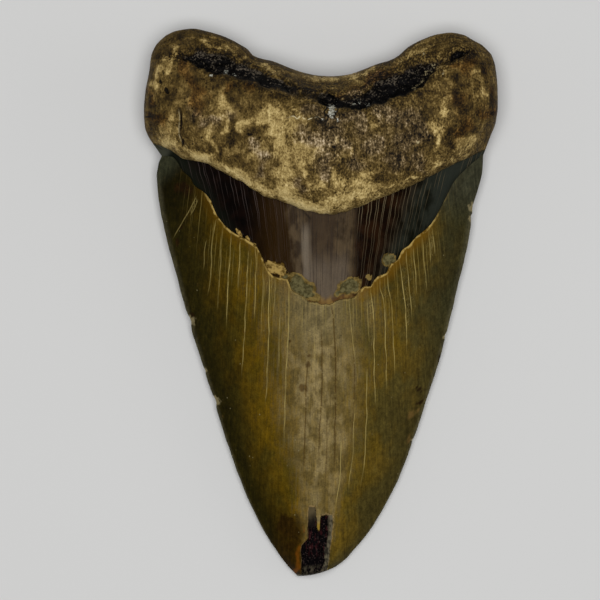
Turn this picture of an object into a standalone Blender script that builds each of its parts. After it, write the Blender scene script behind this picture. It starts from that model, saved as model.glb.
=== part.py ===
"""A fossil megalodon tooth, lying on its flat outer face with its domed inner face up.

The tooth grew as one piece, so it is one closed solid: the root, the dark neck band below it and
the enamel crown down to the broken tip. It is a loft. Every row runs across the tooth from the left
edge to the right edge, bowed like the band itself, and has a front line (the inner face, up) and a
back line (the outer face, down) that meet at both edges.
"""

import bmesh
import bpy
import numpy as np

MM = 0.001

# Driving dimensions, in millimetres. X runs across the tooth, Y from the tip to the root, Z up.
EDGE_HEIGHT_AT_TIP = 2.2
EDGE_HEIGHT_AT_ROOT = 7.0
CROWN_RISE_AT_TIP = 3.4
CROWN_RISE_AT_ROOT = 16.2
ENAMEL_THICKNESS = 0.8
ENAMEL_FADE = 1.5
BACK_BAND_HEIGHT = 2.9
ROOT_LIP = 1.3
ROOT_LIP_END_POWER = 8
ROOT_MARGIN_HEIGHT = 10.0
ROOT_LOBE_HEIGHT = 20.5
ROOT_CENTRE_EXTRA = 9.0
ROOT_CENTRE_HALF_WIDTH = 19.0
ROOT_FRONT_ROUNDING = 11.0
ROOT_BACK_ROUNDING = 9.0
ROOT_BACK_HOLLOW = 3.2
ROOT_BACK_HOLLOW_HALF_WIDTH = 15.0
ROOT_BACK_ROLL_SHARE = 0.3
REST_SINK = 0.45

# The outline seen from above, in millimetres, with the tip down the page and the root up.
CROWN_LEFT = [
    (-5.8, -68.5), (-8.2, -66.1), (-10.5, -63.1), (-13.0, -59.3), (-15.9, -54.2), (-20.3, -44.2),
    (-23.8, -34.2), (-26.9, -24.2), (-30.1, -14.2), (-33.2, -4.2), (-35.9, 5.8), (-38.6, 15.8),
    (-40.6, 25.8), (-41.0, 31.5), (-40.1, 35.7),
]
CROWN_RIGHT = [
    (3.8, -66.2), (5.9, -64.6), (8.7, -61.6), (11.2, -58.6), (14.2, -54.2), (19.5, -44.2),
    (23.3, -34.2), (26.6, -24.2), (29.8, -14.2), (32.4, -4.2), (34.8, 5.8), (37.1, 15.8),
    (38.7, 25.8), (40.5, 33.0), (40.7, 36.8),
]
ROOT_LEFT = [
    (-41.3, 38.0), (-43.1, 40.7), (-44.0, 43.5), (-44.2, 48.0), (-43.8, 52.8), (-42.9, 57.5),
    (-42.3, 61.8), (-41.2, 64.3), (-40.2, 65.5),
]
ROOT_RIGHT = [
    (41.2, 38.4), (42.4, 41.6), (43.7, 45.2), (44.2, 49.5), (44.1, 54.0), (43.6, 58.8),
    (42.6, 61.9), (41.6, 63.1), (40.3, 64.4),
]

# Lines across the front, each as Y against X.
ENAMEL_EDGE = [
    (-40.1, 35.7), (-33.7, 31.2), (-29.6, 27.6), (-26.6, 23.6), (-22.5, 18.3), (-18.4, 15.6),
    (-13.9, 10.2), (-7.7, 6.0), (-1.7, 1.0), (4.3, 0.8), (10.3, 3.5), (14.3, 5.2), (20.3, 12.2),
    (27.3, 18.5), (30.8, 25.0), (33.6, 29.0), (40.7, 36.8),
]
ROOT_EDGE = [
    (-41.3, 38.0), (-32.7, 35.8), (-26.4, 33.8), (-14.7, 27.0), (-8.9, 24.8), (1.8, 22.0),
    (12.3, 25.0), (19.8, 28.2), (34.8, 35.4), (41.2, 38.4),
]
FISSURE = [
    (-42.5, 59.6), (-35.9, 61.2), (-28.9, 59.8), (-21.4, 58.0), (-15.7, 55.6), (-8.9, 53.3),
    (0.3, 50.6), (6.0, 49.3), (10.3, 49.9), (17.8, 53.3), (24.3, 56.6), (30.1, 59.5), (34.3, 61.8),
    (42.4, 62.4),
]
ROOT_MARGIN = [
    (-40.2, 65.5), (-38.3, 67.0), (-35.8, 68.0), (-32.1, 68.5), (-28.3, 67.8), (-24.6, 66.7),
    (-22.1, 65.6), (-19.6, 64.2), (-18.2, 63.3), (-17.1, 61.9), (-15.2, 61.1), (-12.1, 60.4),
    (-8.3, 58.9), (-4.6, 57.6), (-0.8, 56.8), (2.5, 56.6), (6.7, 57.0), (10.4, 58.2), (14.2, 59.7),
    (17.3, 60.6), (19.2, 61.6), (21.7, 63.8), (25.4, 65.8), (29.2, 67.1), (32.3, 67.5), (35.4, 67.0),
    (37.9, 65.7), (40.3, 64.4),
]

# Half the width of the fissure, and its depth, against X. It fades at both ends.
FISSURE_WIDTH = [
    (-38.0, 1.0), (-33.0, 1.5), (-29.0, 2.2), (-25.0, 2.0), (-20.0, 1.5), (-9.0, 1.3), (1.0, 1.8),
    (10.0, 2.0), (20.0, 2.5), (25.0, 2.9), (29.0, 2.6), (33.0, 1.3), (38.5, 1.0),
]
FISSURE_DEPTH = [
    (-38.0, 0.0), (-32.0, 2.2), (-27.0, 4.0), (-20.0, 3.2), (-9.0, 3.0), (0.0, 3.6), (10.0, 4.0),
    (20.0, 4.6), (28.0, 4.4), (33.0, 2.4), (38.5, 0.0),
]

# The hollow where the tip's enamel is broken away: half its width, and its depth, against Y.
TIP_BREAK_X = -1.1
TIP_BREAK_WALL = 1.2
TIP_BREAK_WIDTH = [(-68.5, 3.4), (-62.0, 3.6), (-57.0, 2.7), (-52.5, 2.3)]
TIP_BREAK_DEPTH = [(-68.5, 3.4), (-65.8, 2.0), (-58.0, 1.5), (-54.0, 0.8), (-51.5, 0.0)]

# Heights up the crown and the band, against Y.
CUTTING_EDGE_HEIGHT = [
    (-68.5, EDGE_HEIGHT_AT_TIP), (-35.0, 2.9), (5.0, 4.0), (30.0, 5.4), (38.4, EDGE_HEIGHT_AT_ROOT),
]
CROWN_RISE = [
    (-68.5, CROWN_RISE_AT_TIP), (-56.0, 6.0), (-35.0, 10.0), (-12.0, 13.4), (8.0, 15.2),
    (38.4, CROWN_RISE_AT_ROOT),
]
BACK_MIDDLE_HEIGHT = [
    (-68.5, 0.9), (-60.0, -0.1), (-46.0, -0.25), (-28.0, 0.7), (0.0, 1.5), (38.4, BACK_BAND_HEIGHT),
]
# The root's crest against the share of the root's height: it falls towards the margin.
CREST_SHARE = [(0, 1), (0.5, 1), (0.72, 0.96), (0.84, 0.88), (0.92, 0.78), (1, 0.7)]

# Bows of the rows on the back: how far the middle of the line hangs below its two ends.
BACK_ENAMEL_BOW = 9.0
BACK_ROOT_BOW = 8.0
# The crown's rows are straight at the tip and take on the enamel edge's bow with this power.
BOW_POWER = 1.5
# How far the broken end bulges below the straight line between its corners, and over which share of
# the crown that fades out.
TIP_BULGE = 0.7
TIP_BULGE_SHARE = 0.03

# The fissure's place on the way up the root, and where the root's roll over the band ends.
FISSURE_SHARE = 0.84
ROOT_ROLL_SHARE = 0.46

# Nicks in the two cutting edges: side, Y, length along the edge and depth.
NICKS = [
    (-1, -4.4, 3.0, 0.6), (-1, -16.7, 1.2, 0.3), (-1, -24.6, 2.6, 0.5), (1, 24.2, 2.4, 0.4),
    (1, 21.2, 1.4, 0.6), (1, -8.4, 1.0, 0.3), (1, -34.6, 1.0, 0.3), (-1, 33.6, 1.4, 0.3),
]
# Pits, hollows and swellings of the root: X, Y, radius and depth, with swellings below zero.
PITS = [
    (1.6, 49.6, 2.6, 1.8), (1.4, 43.4, 1.8, 0.8), (-38.3, 53.2, 1.6, 0.8), (-31.5, 56.5, 6.5, 0.7),
    (-35.0, 43.5, 2.2, 0.7), (41.2, 47.4, 2.0, 0.7), (20.5, 45.0, 8.0, 0.7), (-39.8, 58.0, 4.0, -0.5),
    (-24.5, 49.5, 6.0, -0.6), (30.5, 44.5, 5.0, -0.6), (-1.0, 32.0, 10.0, -0.6),
]

# Straight pieces in which the curved outline and the fissure are measured.
PATH_PIECES = 60
# The mesh: columns across, and how much closer together they lie towards the two edges.
COLUMNS = 42
EDGE_CROWDING = 0.55
# Rows as (share where the stretch begins, share where it ends, number of rows).
CROWN_ROWS = [(0, 0.14, 13), (0.14, 0.92, 10), (0.92, 1, 5)]
BAND_ROWS = [(0, 1, 4)]
ROOT_ROWS = [(0, 0.1, 3), (0.1, 0.72, 6), (0.72, 0.94, 8), (0.94, 1, 3)]
STEP_WIDTH = 0.25
SEWING_DISTANCE = 1e-7
SHARP_ANGLE = 40

FOSSIL_COLOUR = (0.22, 0.17, 0.08)
FOSSIL_ROUGHNESS = 0.5


def smooth_table(x, pairs):
    """A curve through (x, y) pairs in cubic pieces. The slope at a pair is the harmonic mean of the
    slopes on its two sides, or level at a peak, so the curve never overshoots."""
    px, py = np.array(pairs, float).T
    step = np.diff(px)
    slope = np.diff(py) / step
    before, after = slope[:-1], slope[1:]
    same_way = before * after > 0
    inner = np.where(same_way, 2 * before * after / np.where(same_way, before + after, 1), 0)
    tangent = np.concatenate([slope[:1], inner, slope[-1:]])
    x = np.clip(x, px[0], px[-1])
    i = np.clip(np.searchsorted(px, x) - 1, 0, len(step) - 1)
    t = (x - px[i]) / step[i]
    return (
        py[i] * (1 + 2 * t) * (1 - t) ** 2
        + step[i] * tangent[i] * t * (1 - t) ** 2
        + py[i + 1] * t**2 * (3 - 2 * t)
        + step[i] * tangent[i + 1] * t**2 * (t - 1)
    )


def smooth_path(points, share):
    """X and Y on a smooth path through the points, at a share from 0 to 1 of the path's length."""
    points = np.array(points, float)
    walked = np.concatenate([[0], np.cumsum(np.hypot(*np.diff(points, axis=0).T))])
    walked /= walked[-1]
    return (
        smooth_table(share, np.column_stack([walked, points[:, 0]])),
        smooth_table(share, np.column_stack([walked, points[:, 1]])),
    )


def smooth_step(t):
    """0 below 0, 1 above 1, and a soft S between."""
    t = np.clip(t, 0, 1)
    return t * t * (3 - 2 * t)


def quarter_round(t):
    """The height of a quarter circle: 0 at 0 with an upright start, and level at 1."""
    return np.sqrt(np.clip(1 - (1 - np.clip(t, 0, 1)) ** 2, 0, 1))


def bump(x, y, centre_x, centre_y, radius):
    """A soft round bump, 1 at its centre and almost 0 past its radius."""
    return np.exp(-2 * ((x - centre_x) ** 2 + (y - centre_y) ** 2) / radius**2)


def across(left, right, u):
    """The value at u, from -1 at the left end to 1 at the right end of a straight row."""
    return left + (right - left) * (u + 1) / 2


def bow_of(line, left, right, u):
    """How far a line given as Y against X hangs below the straight row between its two ends."""
    return across(left[1], right[1], u) - smooth_table(across(left[0], right[0], u), line)


def plan(u, left, right, bow):
    """X and Y of a row's points: straight from end to end, less the bow."""
    return across(left[0], right[0], u), across(left[1], right[1], u) - bow


def distance_to(x, y, path_x, path_y):
    """The distance in plan from every point to the nearest piece of a path."""
    nearest = np.full(x.shape, np.inf)
    for x0, y0, x1, y1 in zip(path_x[:-1], path_y[:-1], path_x[1:], path_y[1:]):
        run_x, run_y = x1 - x0, y1 - y0
        t = ((x - x0) * run_x + (y - y0) * run_y) / (run_x**2 + run_y**2)
        t = np.clip(t, 0, 1)
        nearest = np.minimum(nearest, np.hypot(x - x0 - t * run_x, y - y0 - t * run_y))
    return nearest


def crown_edges(c):
    """The left and right ends of the crown's rows, nicks included. c is 0 at the tip, 1 at the band."""
    ends = []
    for side, points in ((-1, CROWN_LEFT), (1, CROWN_RIGHT)):
        x, y = smooth_path(points, c)
        for nick_side, nick_y, length, depth in NICKS:
            if nick_side == side:
                x = x - side * depth * np.exp(-(((y - nick_y) / (length / 2)) ** 2))
        ends.append((x, y))
    return ends


def end_points(points, index):
    """X and Y of one of a list's points, each as an array of one number."""
    return np.array(points[index][0]), np.array(points[index][1])


def enamel_bow(u):
    """The bow of the enamel's upper edge."""
    return bow_of(ENAMEL_EDGE, end_points(CROWN_LEFT, -1), end_points(CROWN_RIGHT, -1), u)


def root_edge_bow(u):
    """The bow of the root's lower edge."""
    return bow_of(ROOT_EDGE, end_points(ROOT_LEFT, 0), end_points(ROOT_RIGHT, 0), u)


def tip_bow(u, c):
    """The bulge of the broken end, which fades out up the crown."""
    return TIP_BULGE * (1 - u**2) * (1 - smooth_step(c / TIP_BULGE_SHARE))


def tip_break(x, y):
    """The depth of the broken tip: a slot with soft walls that deepens towards the end."""
    from_wall = smooth_table(y, TIP_BREAK_WIDTH) - np.abs(x - TIP_BREAK_X)
    return smooth_table(y, TIP_BREAK_DEPTH) * smooth_step(from_wall / TIP_BREAK_WALL + 0.5)


def body_heights(x, y):
    """The height of the cutting edges, of the front enamel and of the back enamel at a place in plan.
    Both faces are parabolas across the tooth, from one cutting edge to the other."""
    left = smooth_table(y, [(edge_y, edge_x) for edge_x, edge_y in [*CROWN_LEFT, ROOT_LEFT[0]]])
    right = smooth_table(y, [(edge_y, edge_x) for edge_x, edge_y in [*CROWN_RIGHT, ROOT_RIGHT[0]]])
    dome = 1 - np.clip((2 * x - left - right) / (right - left), -1, 1) ** 2
    edge = smooth_table(y, CUTTING_EDGE_HEIGHT)
    back = edge - (edge - smooth_table(y, BACK_MIDDLE_HEIGHT)) * dome
    return edge, edge + smooth_table(y, CROWN_RISE) * dome, back


def crown_front(u, c):
    """The domed enamel face, with the broken tip."""
    left, right = crown_edges(c)
    x, y = plan(u, left, right, c**BOW_POWER * enamel_bow(u) + tip_bow(u, c))
    return x, y, body_heights(x, y)[1] - tip_break(x, y)


def crown_back(u, c):
    """The outer enamel face: nearly flat, and lowest where it rests on the ground near the tip."""
    left, right = crown_edges(c)
    x, y = plan(u, left, right, c**BOW_POWER * BACK_ENAMEL_BOW * (1 - u**2) + tip_bow(u, c))
    return x, y, body_heights(x, y)[2]


def band_ends(b):
    """The ends of the neck band's rows, between the crown's shoulders and the root's corners."""
    ends = []
    for crown, root in ((CROWN_LEFT, ROOT_LEFT), (CROWN_RIGHT, ROOT_RIGHT)):
        x0, y0 = end_points(crown, -1)
        x1, y1 = end_points(root, 0)
        ends.append((x0 + (x1 - x0) * b, y0 + (y1 - y0) * b))
    return ends


def band_front(u, b):
    """The neck band: a strip one enamel thickness below the crown, up to the root's edge."""
    left, right = band_ends(b)
    x, y = plan(u, left, right, enamel_bow(u) * (1 - b) + root_edge_bow(u) * b)
    y = y + STEP_WIDTH * (1 - b) * (1 - u**2)
    edge, front = body_heights(x, y)[:2]
    return x, y, front - ENAMEL_THICKNESS * smooth_step((front - edge) / ENAMEL_FADE)


def band_back(u, b):
    """The narrow groove between crown and root on the outer face."""
    left, right = band_ends(b)
    bow = BACK_ENAMEL_BOW + (BACK_ROOT_BOW - BACK_ENAMEL_BOW) * b
    x, y = plan(u, left, right, bow * (1 - u**2))
    return x, y, body_heights(x, y)[2] + ENAMEL_THICKNESS * (1 - u**2) * np.sin(np.pi * b)


def root_ends(r):
    """The ends of the root's rows. r is 0 at its lower edge and 1 at its upper margin."""
    return smooth_path(ROOT_LEFT, r), smooth_path(ROOT_RIGHT, r)


def held_bow(line, left, right, u):
    """A line's bow, less what it has at the two ends, so that its row still starts and ends there."""
    return bow_of(line, left, right, u) - across(*bow_of(line, left, right, np.array([-1.0, 1.0])), u)


def root_bow(u, r, lower_bow):
    """The bow of a root row: from the lower edge's, through the fissure's, to the margin's."""
    fissure = held_bow(FISSURE, *root_ends(FISSURE_SHARE), u)
    margin = held_bow(ROOT_MARGIN, *root_ends(1.0), u)
    up = np.clip(r / FISSURE_SHARE, 0, 1)
    past = np.clip((r - FISSURE_SHARE) / (1 - FISSURE_SHARE), 0, 1)
    return (lower_bow * (1 - up) + fissure * up) * (1 - past) + margin * past


def root_outline():
    """The root's outline from its lower left corner over the margin to its lower right corner."""
    share = np.linspace(0, 1, PATH_PIECES // 2)
    left_x, left_y = smooth_path(ROOT_LEFT, share)
    right_x, right_y = smooth_path(ROOT_RIGHT, share[::-1])
    margin_x = np.linspace(ROOT_MARGIN[0][0], ROOT_MARGIN[-1][0], PATH_PIECES)[1:-1]
    margin_y = smooth_table(margin_x, ROOT_MARGIN)
    return np.concatenate([left_x, margin_x, right_x]), np.concatenate([left_y, margin_y, right_y])


def margin_height(r):
    """The height of the root's outline, where front and back meet."""
    return EDGE_HEIGHT_AT_ROOT + (ROOT_MARGIN_HEIGHT - EDGE_HEIGHT_AT_ROOT) * smooth_step(2 * r)


def root_front(u, r):
    """The root's inner face: a thick roll, highest in the middle, rounded off towards its outline.
    It starts at the lip over the band, and the fissure runs along it below the back rim."""
    left, right = root_ends(r)
    x, y = plan(u, left, right, root_bow(u, r, root_edge_bow(u)))
    crest = ROOT_LOBE_HEIGHT + ROOT_CENTRE_EXTRA * np.exp(-((x / ROOT_CENTRE_HALF_WIDTH) ** 2))
    crest = crest * smooth_table(r, CREST_SHARE)
    rounded = quarter_round(distance_to(x, y, *root_outline()) / ROOT_FRONT_ROUNDING)
    full = margin_height(r) + (crest - margin_height(r)) * rounded
    lip = band_front(u, 1)[2] + ROOT_LIP * (1 - u**ROOT_LIP_END_POWER)
    z = lip + (full - lip) * quarter_round(r / ROOT_ROLL_SHARE)
    fissure_x = np.linspace(FISSURE_WIDTH[0][0], FISSURE_WIDTH[-1][0], PATH_PIECES)
    away = distance_to(x, y, fissure_x, smooth_table(fissure_x, FISSURE))
    groove = np.exp(-((away / smooth_table(x, FISSURE_WIDTH)) ** 4))
    z = z - smooth_table(x, FISSURE_DEPTH) * groove * rounded
    for pit_x, pit_y, radius, depth in PITS:
        z = z - depth * bump(x, y, pit_x, pit_y, radius)
    return x, y, z


def root_back(u, r):
    """The root's outer face: two lobes that rest on the ground, and a shallow hollow between."""
    left, right = root_ends(r)
    x, y = plan(u, left, right, root_bow(u, r, BACK_ROOT_BOW * (1 - u**2)))
    lowest = ROOT_BACK_HOLLOW * np.exp(-((x / ROOT_BACK_HOLLOW_HALF_WIDTH) ** 2)) - REST_SINK
    rounded = quarter_round(distance_to(x, y, *root_outline()) / ROOT_BACK_ROUNDING)
    full = margin_height(r) - (margin_height(r) - lowest) * rounded
    neck = band_back(u, 1)[2]
    return x, y, neck + (full - neck) * smooth_step(r / ROOT_BACK_ROLL_SHARE)


def columns(count):
    """Positions across a row, closer together towards the two edges."""
    even = np.linspace(-1, 1, count + 1)
    return (1 - EDGE_CROWDING) * even + EDGE_CROWDING * np.sin(np.pi / 2 * even)


def row_shares(stretches):
    """The shares at which a section's rows lie, from its list of stretches."""
    starts = [np.linspace(begin, end, count, endpoint=False) for begin, end, count in stretches]
    return np.concatenate([*starts, [stretches[-1][1]]])


def sheets(u):
    """The front and the back of the tooth, each an array of rows by columns by (x, y, z)."""
    front, back = [], []
    for front_of, back_of, stretches in (
        (crown_front, crown_back, CROWN_ROWS),
        (band_front, band_back, BAND_ROWS),
        (root_front, root_back, ROOT_ROWS),
    ):
        for share in row_shares(stretches):
            front.append(np.column_stack(front_of(u, np.full(u.shape, share))))
            back.append(np.column_stack(back_of(u, np.full(u.shape, share))))
    front, back = np.array(front), np.array(back)
    back[:, [0, -1]] = front[:, [0, -1]]
    back[-1] = front[-1]
    back[..., 2] = np.maximum(back[..., 2], 0)
    return front, back


def centred(front, back):
    """Both sheets in metres, with the middle of their box over the origin and their lowest at 0."""
    points = np.concatenate([front.reshape(-1, 3), back.reshape(-1, 3)])
    low, high = points.min(axis=0), points.max(axis=0)
    origin = np.array([(low[0] + high[0]) / 2, (low[1] + high[1]) / 2, low[2]])
    return (front - origin) * MM, (back - origin) * MM


def add_sheet(model, points):
    """Adds a grid of points to a bmesh, with a quad between each four neighbours."""
    corners = [[model.verts.new(point) for point in row] for row in points]
    for low, high in zip(corners[:-1], corners[1:]):
        for i in range(len(low) - 1):
            model.faces.new((low[i], low[i + 1], high[i + 1], high[i]))


def tooth_object(name):
    """The front, the back and the broken end of the tip, sewn into one closed solid."""
    front, back = centred(*sheets(columns(COLUMNS)))
    model = bmesh.new()
    add_sheet(model, front)
    add_sheet(model, back[:, ::-1])
    add_sheet(model, np.stack([back[0], front[0]]))
    bmesh.ops.remove_doubles(model, verts=model.verts, dist=SEWING_DISTANCE)
    bmesh.ops.triangulate(model, faces=model.faces)
    bmesh.ops.recalc_face_normals(model, faces=model.faces)
    mesh = bpy.data.meshes.new(name)
    model.to_mesh(mesh)
    model.free()
    mesh.shade_smooth()
    mesh.set_sharp_from_angle(angle=np.radians(SHARP_ANGLE))
    tooth = bpy.data.objects.new(name, mesh)
    bpy.context.scene.collection.objects.link(tooth)
    return tooth


def fossil_material(name, colour, roughness):
    """A plain mineral finish in one colour."""
    material = bpy.data.materials.new(name)
    material.use_nodes = True
    shader = material.node_tree.nodes["Principled BSDF"]
    shader.inputs["Base Color"].default_value = (*colour, 1)
    shader.inputs["Roughness"].default_value = roughness
    shader.inputs["Metallic"].default_value = 0
    return material


def main():
    for old in list(bpy.data.objects):
        bpy.data.objects.remove(old)
    tooth = tooth_object("tooth")
    tooth.data.materials.append(fossil_material("fossil", FOSSIL_COLOUR, FOSSIL_ROUGHNESS))
    return tooth


main()
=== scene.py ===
import bpy
import numpy as np
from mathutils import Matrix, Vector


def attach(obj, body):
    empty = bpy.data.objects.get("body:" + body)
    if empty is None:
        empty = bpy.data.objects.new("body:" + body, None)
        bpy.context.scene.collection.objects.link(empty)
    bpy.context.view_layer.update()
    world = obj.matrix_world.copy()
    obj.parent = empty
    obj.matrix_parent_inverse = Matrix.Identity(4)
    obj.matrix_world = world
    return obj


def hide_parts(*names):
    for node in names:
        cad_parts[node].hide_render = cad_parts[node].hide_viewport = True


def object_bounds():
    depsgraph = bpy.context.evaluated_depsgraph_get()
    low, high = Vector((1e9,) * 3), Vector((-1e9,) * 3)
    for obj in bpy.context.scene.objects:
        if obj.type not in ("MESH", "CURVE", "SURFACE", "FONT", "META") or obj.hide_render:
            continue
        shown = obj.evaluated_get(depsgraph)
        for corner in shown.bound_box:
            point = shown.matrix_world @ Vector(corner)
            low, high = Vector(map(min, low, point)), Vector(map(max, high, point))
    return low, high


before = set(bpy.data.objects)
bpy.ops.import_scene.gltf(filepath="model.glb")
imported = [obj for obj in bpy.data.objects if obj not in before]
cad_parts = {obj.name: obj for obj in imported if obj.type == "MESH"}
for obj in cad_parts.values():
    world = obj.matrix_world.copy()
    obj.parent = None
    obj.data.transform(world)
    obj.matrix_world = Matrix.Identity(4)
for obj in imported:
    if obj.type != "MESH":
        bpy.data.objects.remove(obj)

cad_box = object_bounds()
print("the solid's box in millimetres:", [[round(1000 * v, 2) for v in corner] for corner in cad_box])

# %% [markdown]
# The object is a large fossil shark tooth. A loose tooth can't stand on its tip, so it lies on its flat
# outer face and shows the domed inner face: a thick mottled root, the dark neck band and the enamel crown
# with a broken tip. The camera looks straight down on it. Its lens is long, because a long lens keeps the
# raised root and the low cutting edges at almost one scale, and is worked out from the width that the
# picture has to hold.

# %% Camera
MM = 0.001
CAMERA_HEIGHT = 1500.0
VIEW_WIDTH = 150.0
OUTLINE_HEIGHT = 8.0
VIEW_CENTRE = (-5.2, 0.75)
SENSOR_WIDTH = 36.0

camera_data = bpy.data.cameras.new("camera")
camera_data.sensor_width = SENSOR_WIDTH
camera_data.lens = SENSOR_WIDTH * (CAMERA_HEIGHT - OUTLINE_HEIGHT) / VIEW_WIDTH
camera_data.clip_end = 10
camera = bpy.data.objects.new("camera", camera_data)
camera.location = (VIEW_CENTRE[0] * MM, VIEW_CENTRE[1] * MM, CAMERA_HEIGHT * MM)
bpy.context.scene.collection.objects.link(camera)
bpy.context.scene.camera = camera
print("lens in millimetres:", round(camera_data.lens))

# %% [markdown]
# The tooth is one closed surface, like a pillow: a front sheet and a back sheet that share their whole
# border. Both are worked out as grids. A row runs across the tooth from its left edge to its right edge,
# and the rows climb from the broken tip over the crown and the band to the top of the root. The outline
# and the lines where one surface meets the next are short lists of points, in millimetres, and a smooth
# curve is laid through each. Its slopes are harmonic means, which never overshoot between points.

# %% Curves through chosen points
def smooth_table(x, pairs):
    """Cubic pieces through (x, y) pairs. The slope at a pair is the harmonic mean of the two slopes
    beside it, or level at a peak."""
    px, py = np.array(pairs, float).T
    step = np.diff(px)
    slope = np.diff(py) / step
    before, after = slope[:-1], slope[1:]
    same_way = before * after > 0
    inner = np.where(same_way, 2 * before * after / np.where(same_way, before + after, 1), 0)
    tangent = np.concatenate([slope[:1], inner, slope[-1:]])
    x = np.clip(x, px[0], px[-1])
    i = np.clip(np.searchsorted(px, x) - 1, 0, len(step) - 1)
    t = (x - px[i]) / step[i]
    return (
        py[i] * (1 + 2 * t) * (1 - t) ** 2
        + step[i] * tangent[i] * t * (1 - t) ** 2
        + py[i + 1] * t**2 * (3 - 2 * t)
        + step[i] * tangent[i + 1] * t**2 * (t - 1)
    )


def smooth_path(points, share):
    """X and Y on a smooth path through the points, at a share from 0 to 1 of the path's length."""
    points = np.array(points, float)
    walked = np.concatenate([[0], np.cumsum(np.hypot(*np.diff(points, axis=0).T))])
    walked /= walked[-1]
    return (
        smooth_table(share, np.column_stack([walked, points[:, 0]])),
        smooth_table(share, np.column_stack([walked, points[:, 1]])),
    )


def smooth_step(t):
    """0 below 0, 1 above 1, and a soft S between."""
    t = np.clip(t, 0, 1)
    return t * t * (3 - 2 * t)


def quarter_round(t):
    """The height of a quarter circle: 0 at 0 with an upright start, and level at 1."""
    return np.sqrt(np.clip(1 - (1 - np.clip(t, 0, 1)) ** 2, 0, 1))


def bump(x, y, centre_x, centre_y, radius):
    """A soft round bump: e to the power of minus twice the squared distance over the squared radius."""
    return np.exp(-2 * ((x - centre_x) ** 2 + (y - centre_y) ** 2) / radius**2)


peak = [(0, 0), (1, 2), (2, 0)]
print("the curve through", peak, "at 0.5 and 1:", smooth_table(np.array([0.5, 1]), peak))

# %% [markdown]
# These lines give this tooth its own shape. They are in millimetres from the middle of its box. The crown
# narrows to a broken tip left of the middle, and small nicks are worn into its cutting edges. The enamel
# ends in a ragged line, because it flaked off the band, and the root ends in a smooth one. The fissure
# wanders from one lobe of the root to the other.

# %% The outline and the lines on the front
CROWN_LEFT = [
    (-5.8, -68.5), (-8.2, -66.1), (-10.5, -63.1), (-13, -59.3), (-15.9, -54.2), (-20.3, -44.2),
    (-23.8, -34.2), (-26.9, -24.2), (-30.1, -14.2), (-33.2, -4.2), (-35.9, 5.8), (-38.6, 15.8),
    (-40.6, 25.8), (-41.1, 31.5), (-40.6, 34.9), (-39.8, 36.8),
]
CROWN_RIGHT = [
    (3.8, -66.2), (5.9, -64.6), (8.7, -61.6), (11.2, -58.6), (14.2, -54.2), (19.5, -44.2), (23.3, -34.2),
    (26.6, -24.2), (29.8, -14.2), (32.4, -4.2), (34.8, 5.8), (37.1, 15.8), (38.7, 25.8), (40.5, 33),
    (40.8, 37.3),
]
ROOT_LEFT = [
    (-42, 39.9), (-43.2, 41.8), (-44, 44.2), (-44.2, 48), (-43.8, 52.8), (-42.9, 57.5), (-42.3, 61.8),
    (-41.2, 64.3), (-40.2, 65.5),
]
ROOT_RIGHT = [
    (41.2, 38.4), (42.4, 41.6), (43.7, 45.2), (44.2, 49.5), (44.1, 54), (43.6, 58.8), (42.6, 61.9),
    (41.6, 63.1), (40.3, 64.4),
]
ENAMEL_EDGE = [
    (-39.8, 36.8), (-37.2, 36.6), (-35.8, 35.2), (-34.6, 33.2), (-32.4, 31), (-31.6, 29.4), (-29.6, 27.9),
    (-27.4, 25.4), (-26.6, 23.3), (-24.8, 20.3), (-22.4, 17.9), (-18.5, 15.7), (-16.2, 14.2),
    (-14.2, 10.3), (-12.7, 7.4), (-10.8, 6.2), (-8.3, 6), (-7.2, 3.2), (-4.9, 1.6), (-2.4, 0.1),
    (2.3, -0.4), (4.5, 0.6), (7.5, 0.9), (10, 3.3), (11.2, 4.1), (12.3, 3.8), (13.2, 5.3), (14.6, 6.7),
    (16.3, 7.4), (17.5, 9.6), (19.3, 10.7), (19.8, 12.4), (22, 14.4), (24.3, 16.8), (26.6, 18.6),
    (27.9, 20.2), (30.2, 24.2), (31.6, 27), (33.6, 30.6), (36.2, 33.4), (40.8, 37.3),
]
ROOT_EDGE = [
    (-42, 39.9), (-40, 39.3), (-37.8, 38.4), (-36, 37.4), (-34, 36.2), (-31, 35.5), (-28, 34.5),
    (-26, 33.4), (-20.2, 30.4), (-14.7, 27), (-8.9, 24.8), (-2.7, 22.8), (1.8, 22), (6.8, 23), (12.3, 25),
    (19.8, 28.2), (27.3, 31.8), (34.8, 35.4), (41.2, 38.4),
]
FISSURE = [
    (-42.5, 59.6), (-35.9, 61.2), (-28.9, 59.8), (-21.4, 58), (-15.7, 55.6), (-8.9, 53.3), (0.3, 50.6),
    (6, 49.3), (10.3, 49.9), (17.8, 53.2), (24.3, 56), (30.1, 59.3), (34.3, 61.8), (42.4, 62.4),
]
ROOT_MARGIN = [
    (-40.2, 65.5), (-38.3, 67), (-35.8, 68), (-32.1, 68.5), (-28.3, 67.8), (-24.6, 66.7), (-22.1, 65.6),
    (-19.6, 64.2), (-18.2, 63.3), (-17.1, 61.9), (-15.2, 61.1), (-12.1, 60.4), (-8.3, 58.9), (-4.6, 57.6),
    (-0.8, 56.8), (2.5, 56.6), (6.7, 57), (10.4, 58.2), (14.2, 59.7), (17.3, 60.6), (19.2, 61.6),
    (21.7, 63.8), (25.4, 65.8), (29.2, 67.1), (32.3, 67.5), (35.4, 67), (37.9, 65.7), (40.3, 64.4),
]
# Nicks in the two cutting edges: side, Y, length along the edge and depth.
NICKS = [
    (-1, -4.4, 3, 0.6), (-1, -16.7, 1.2, 0.3), (-1, -24.6, 2.6, 0.5), (1, 24.2, 2.4, 0.4),
    (1, 21.2, 1.4, 0.6), (1, -8.4, 1, 0.3), (1, -34.6, 1, 0.3),
]
outline_parts = (CROWN_LEFT, CROWN_RIGHT, ROOT_LEFT, ROOT_RIGHT, ROOT_MARGIN)
print("points in the outline:", sum(map(len, outline_parts)))

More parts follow.
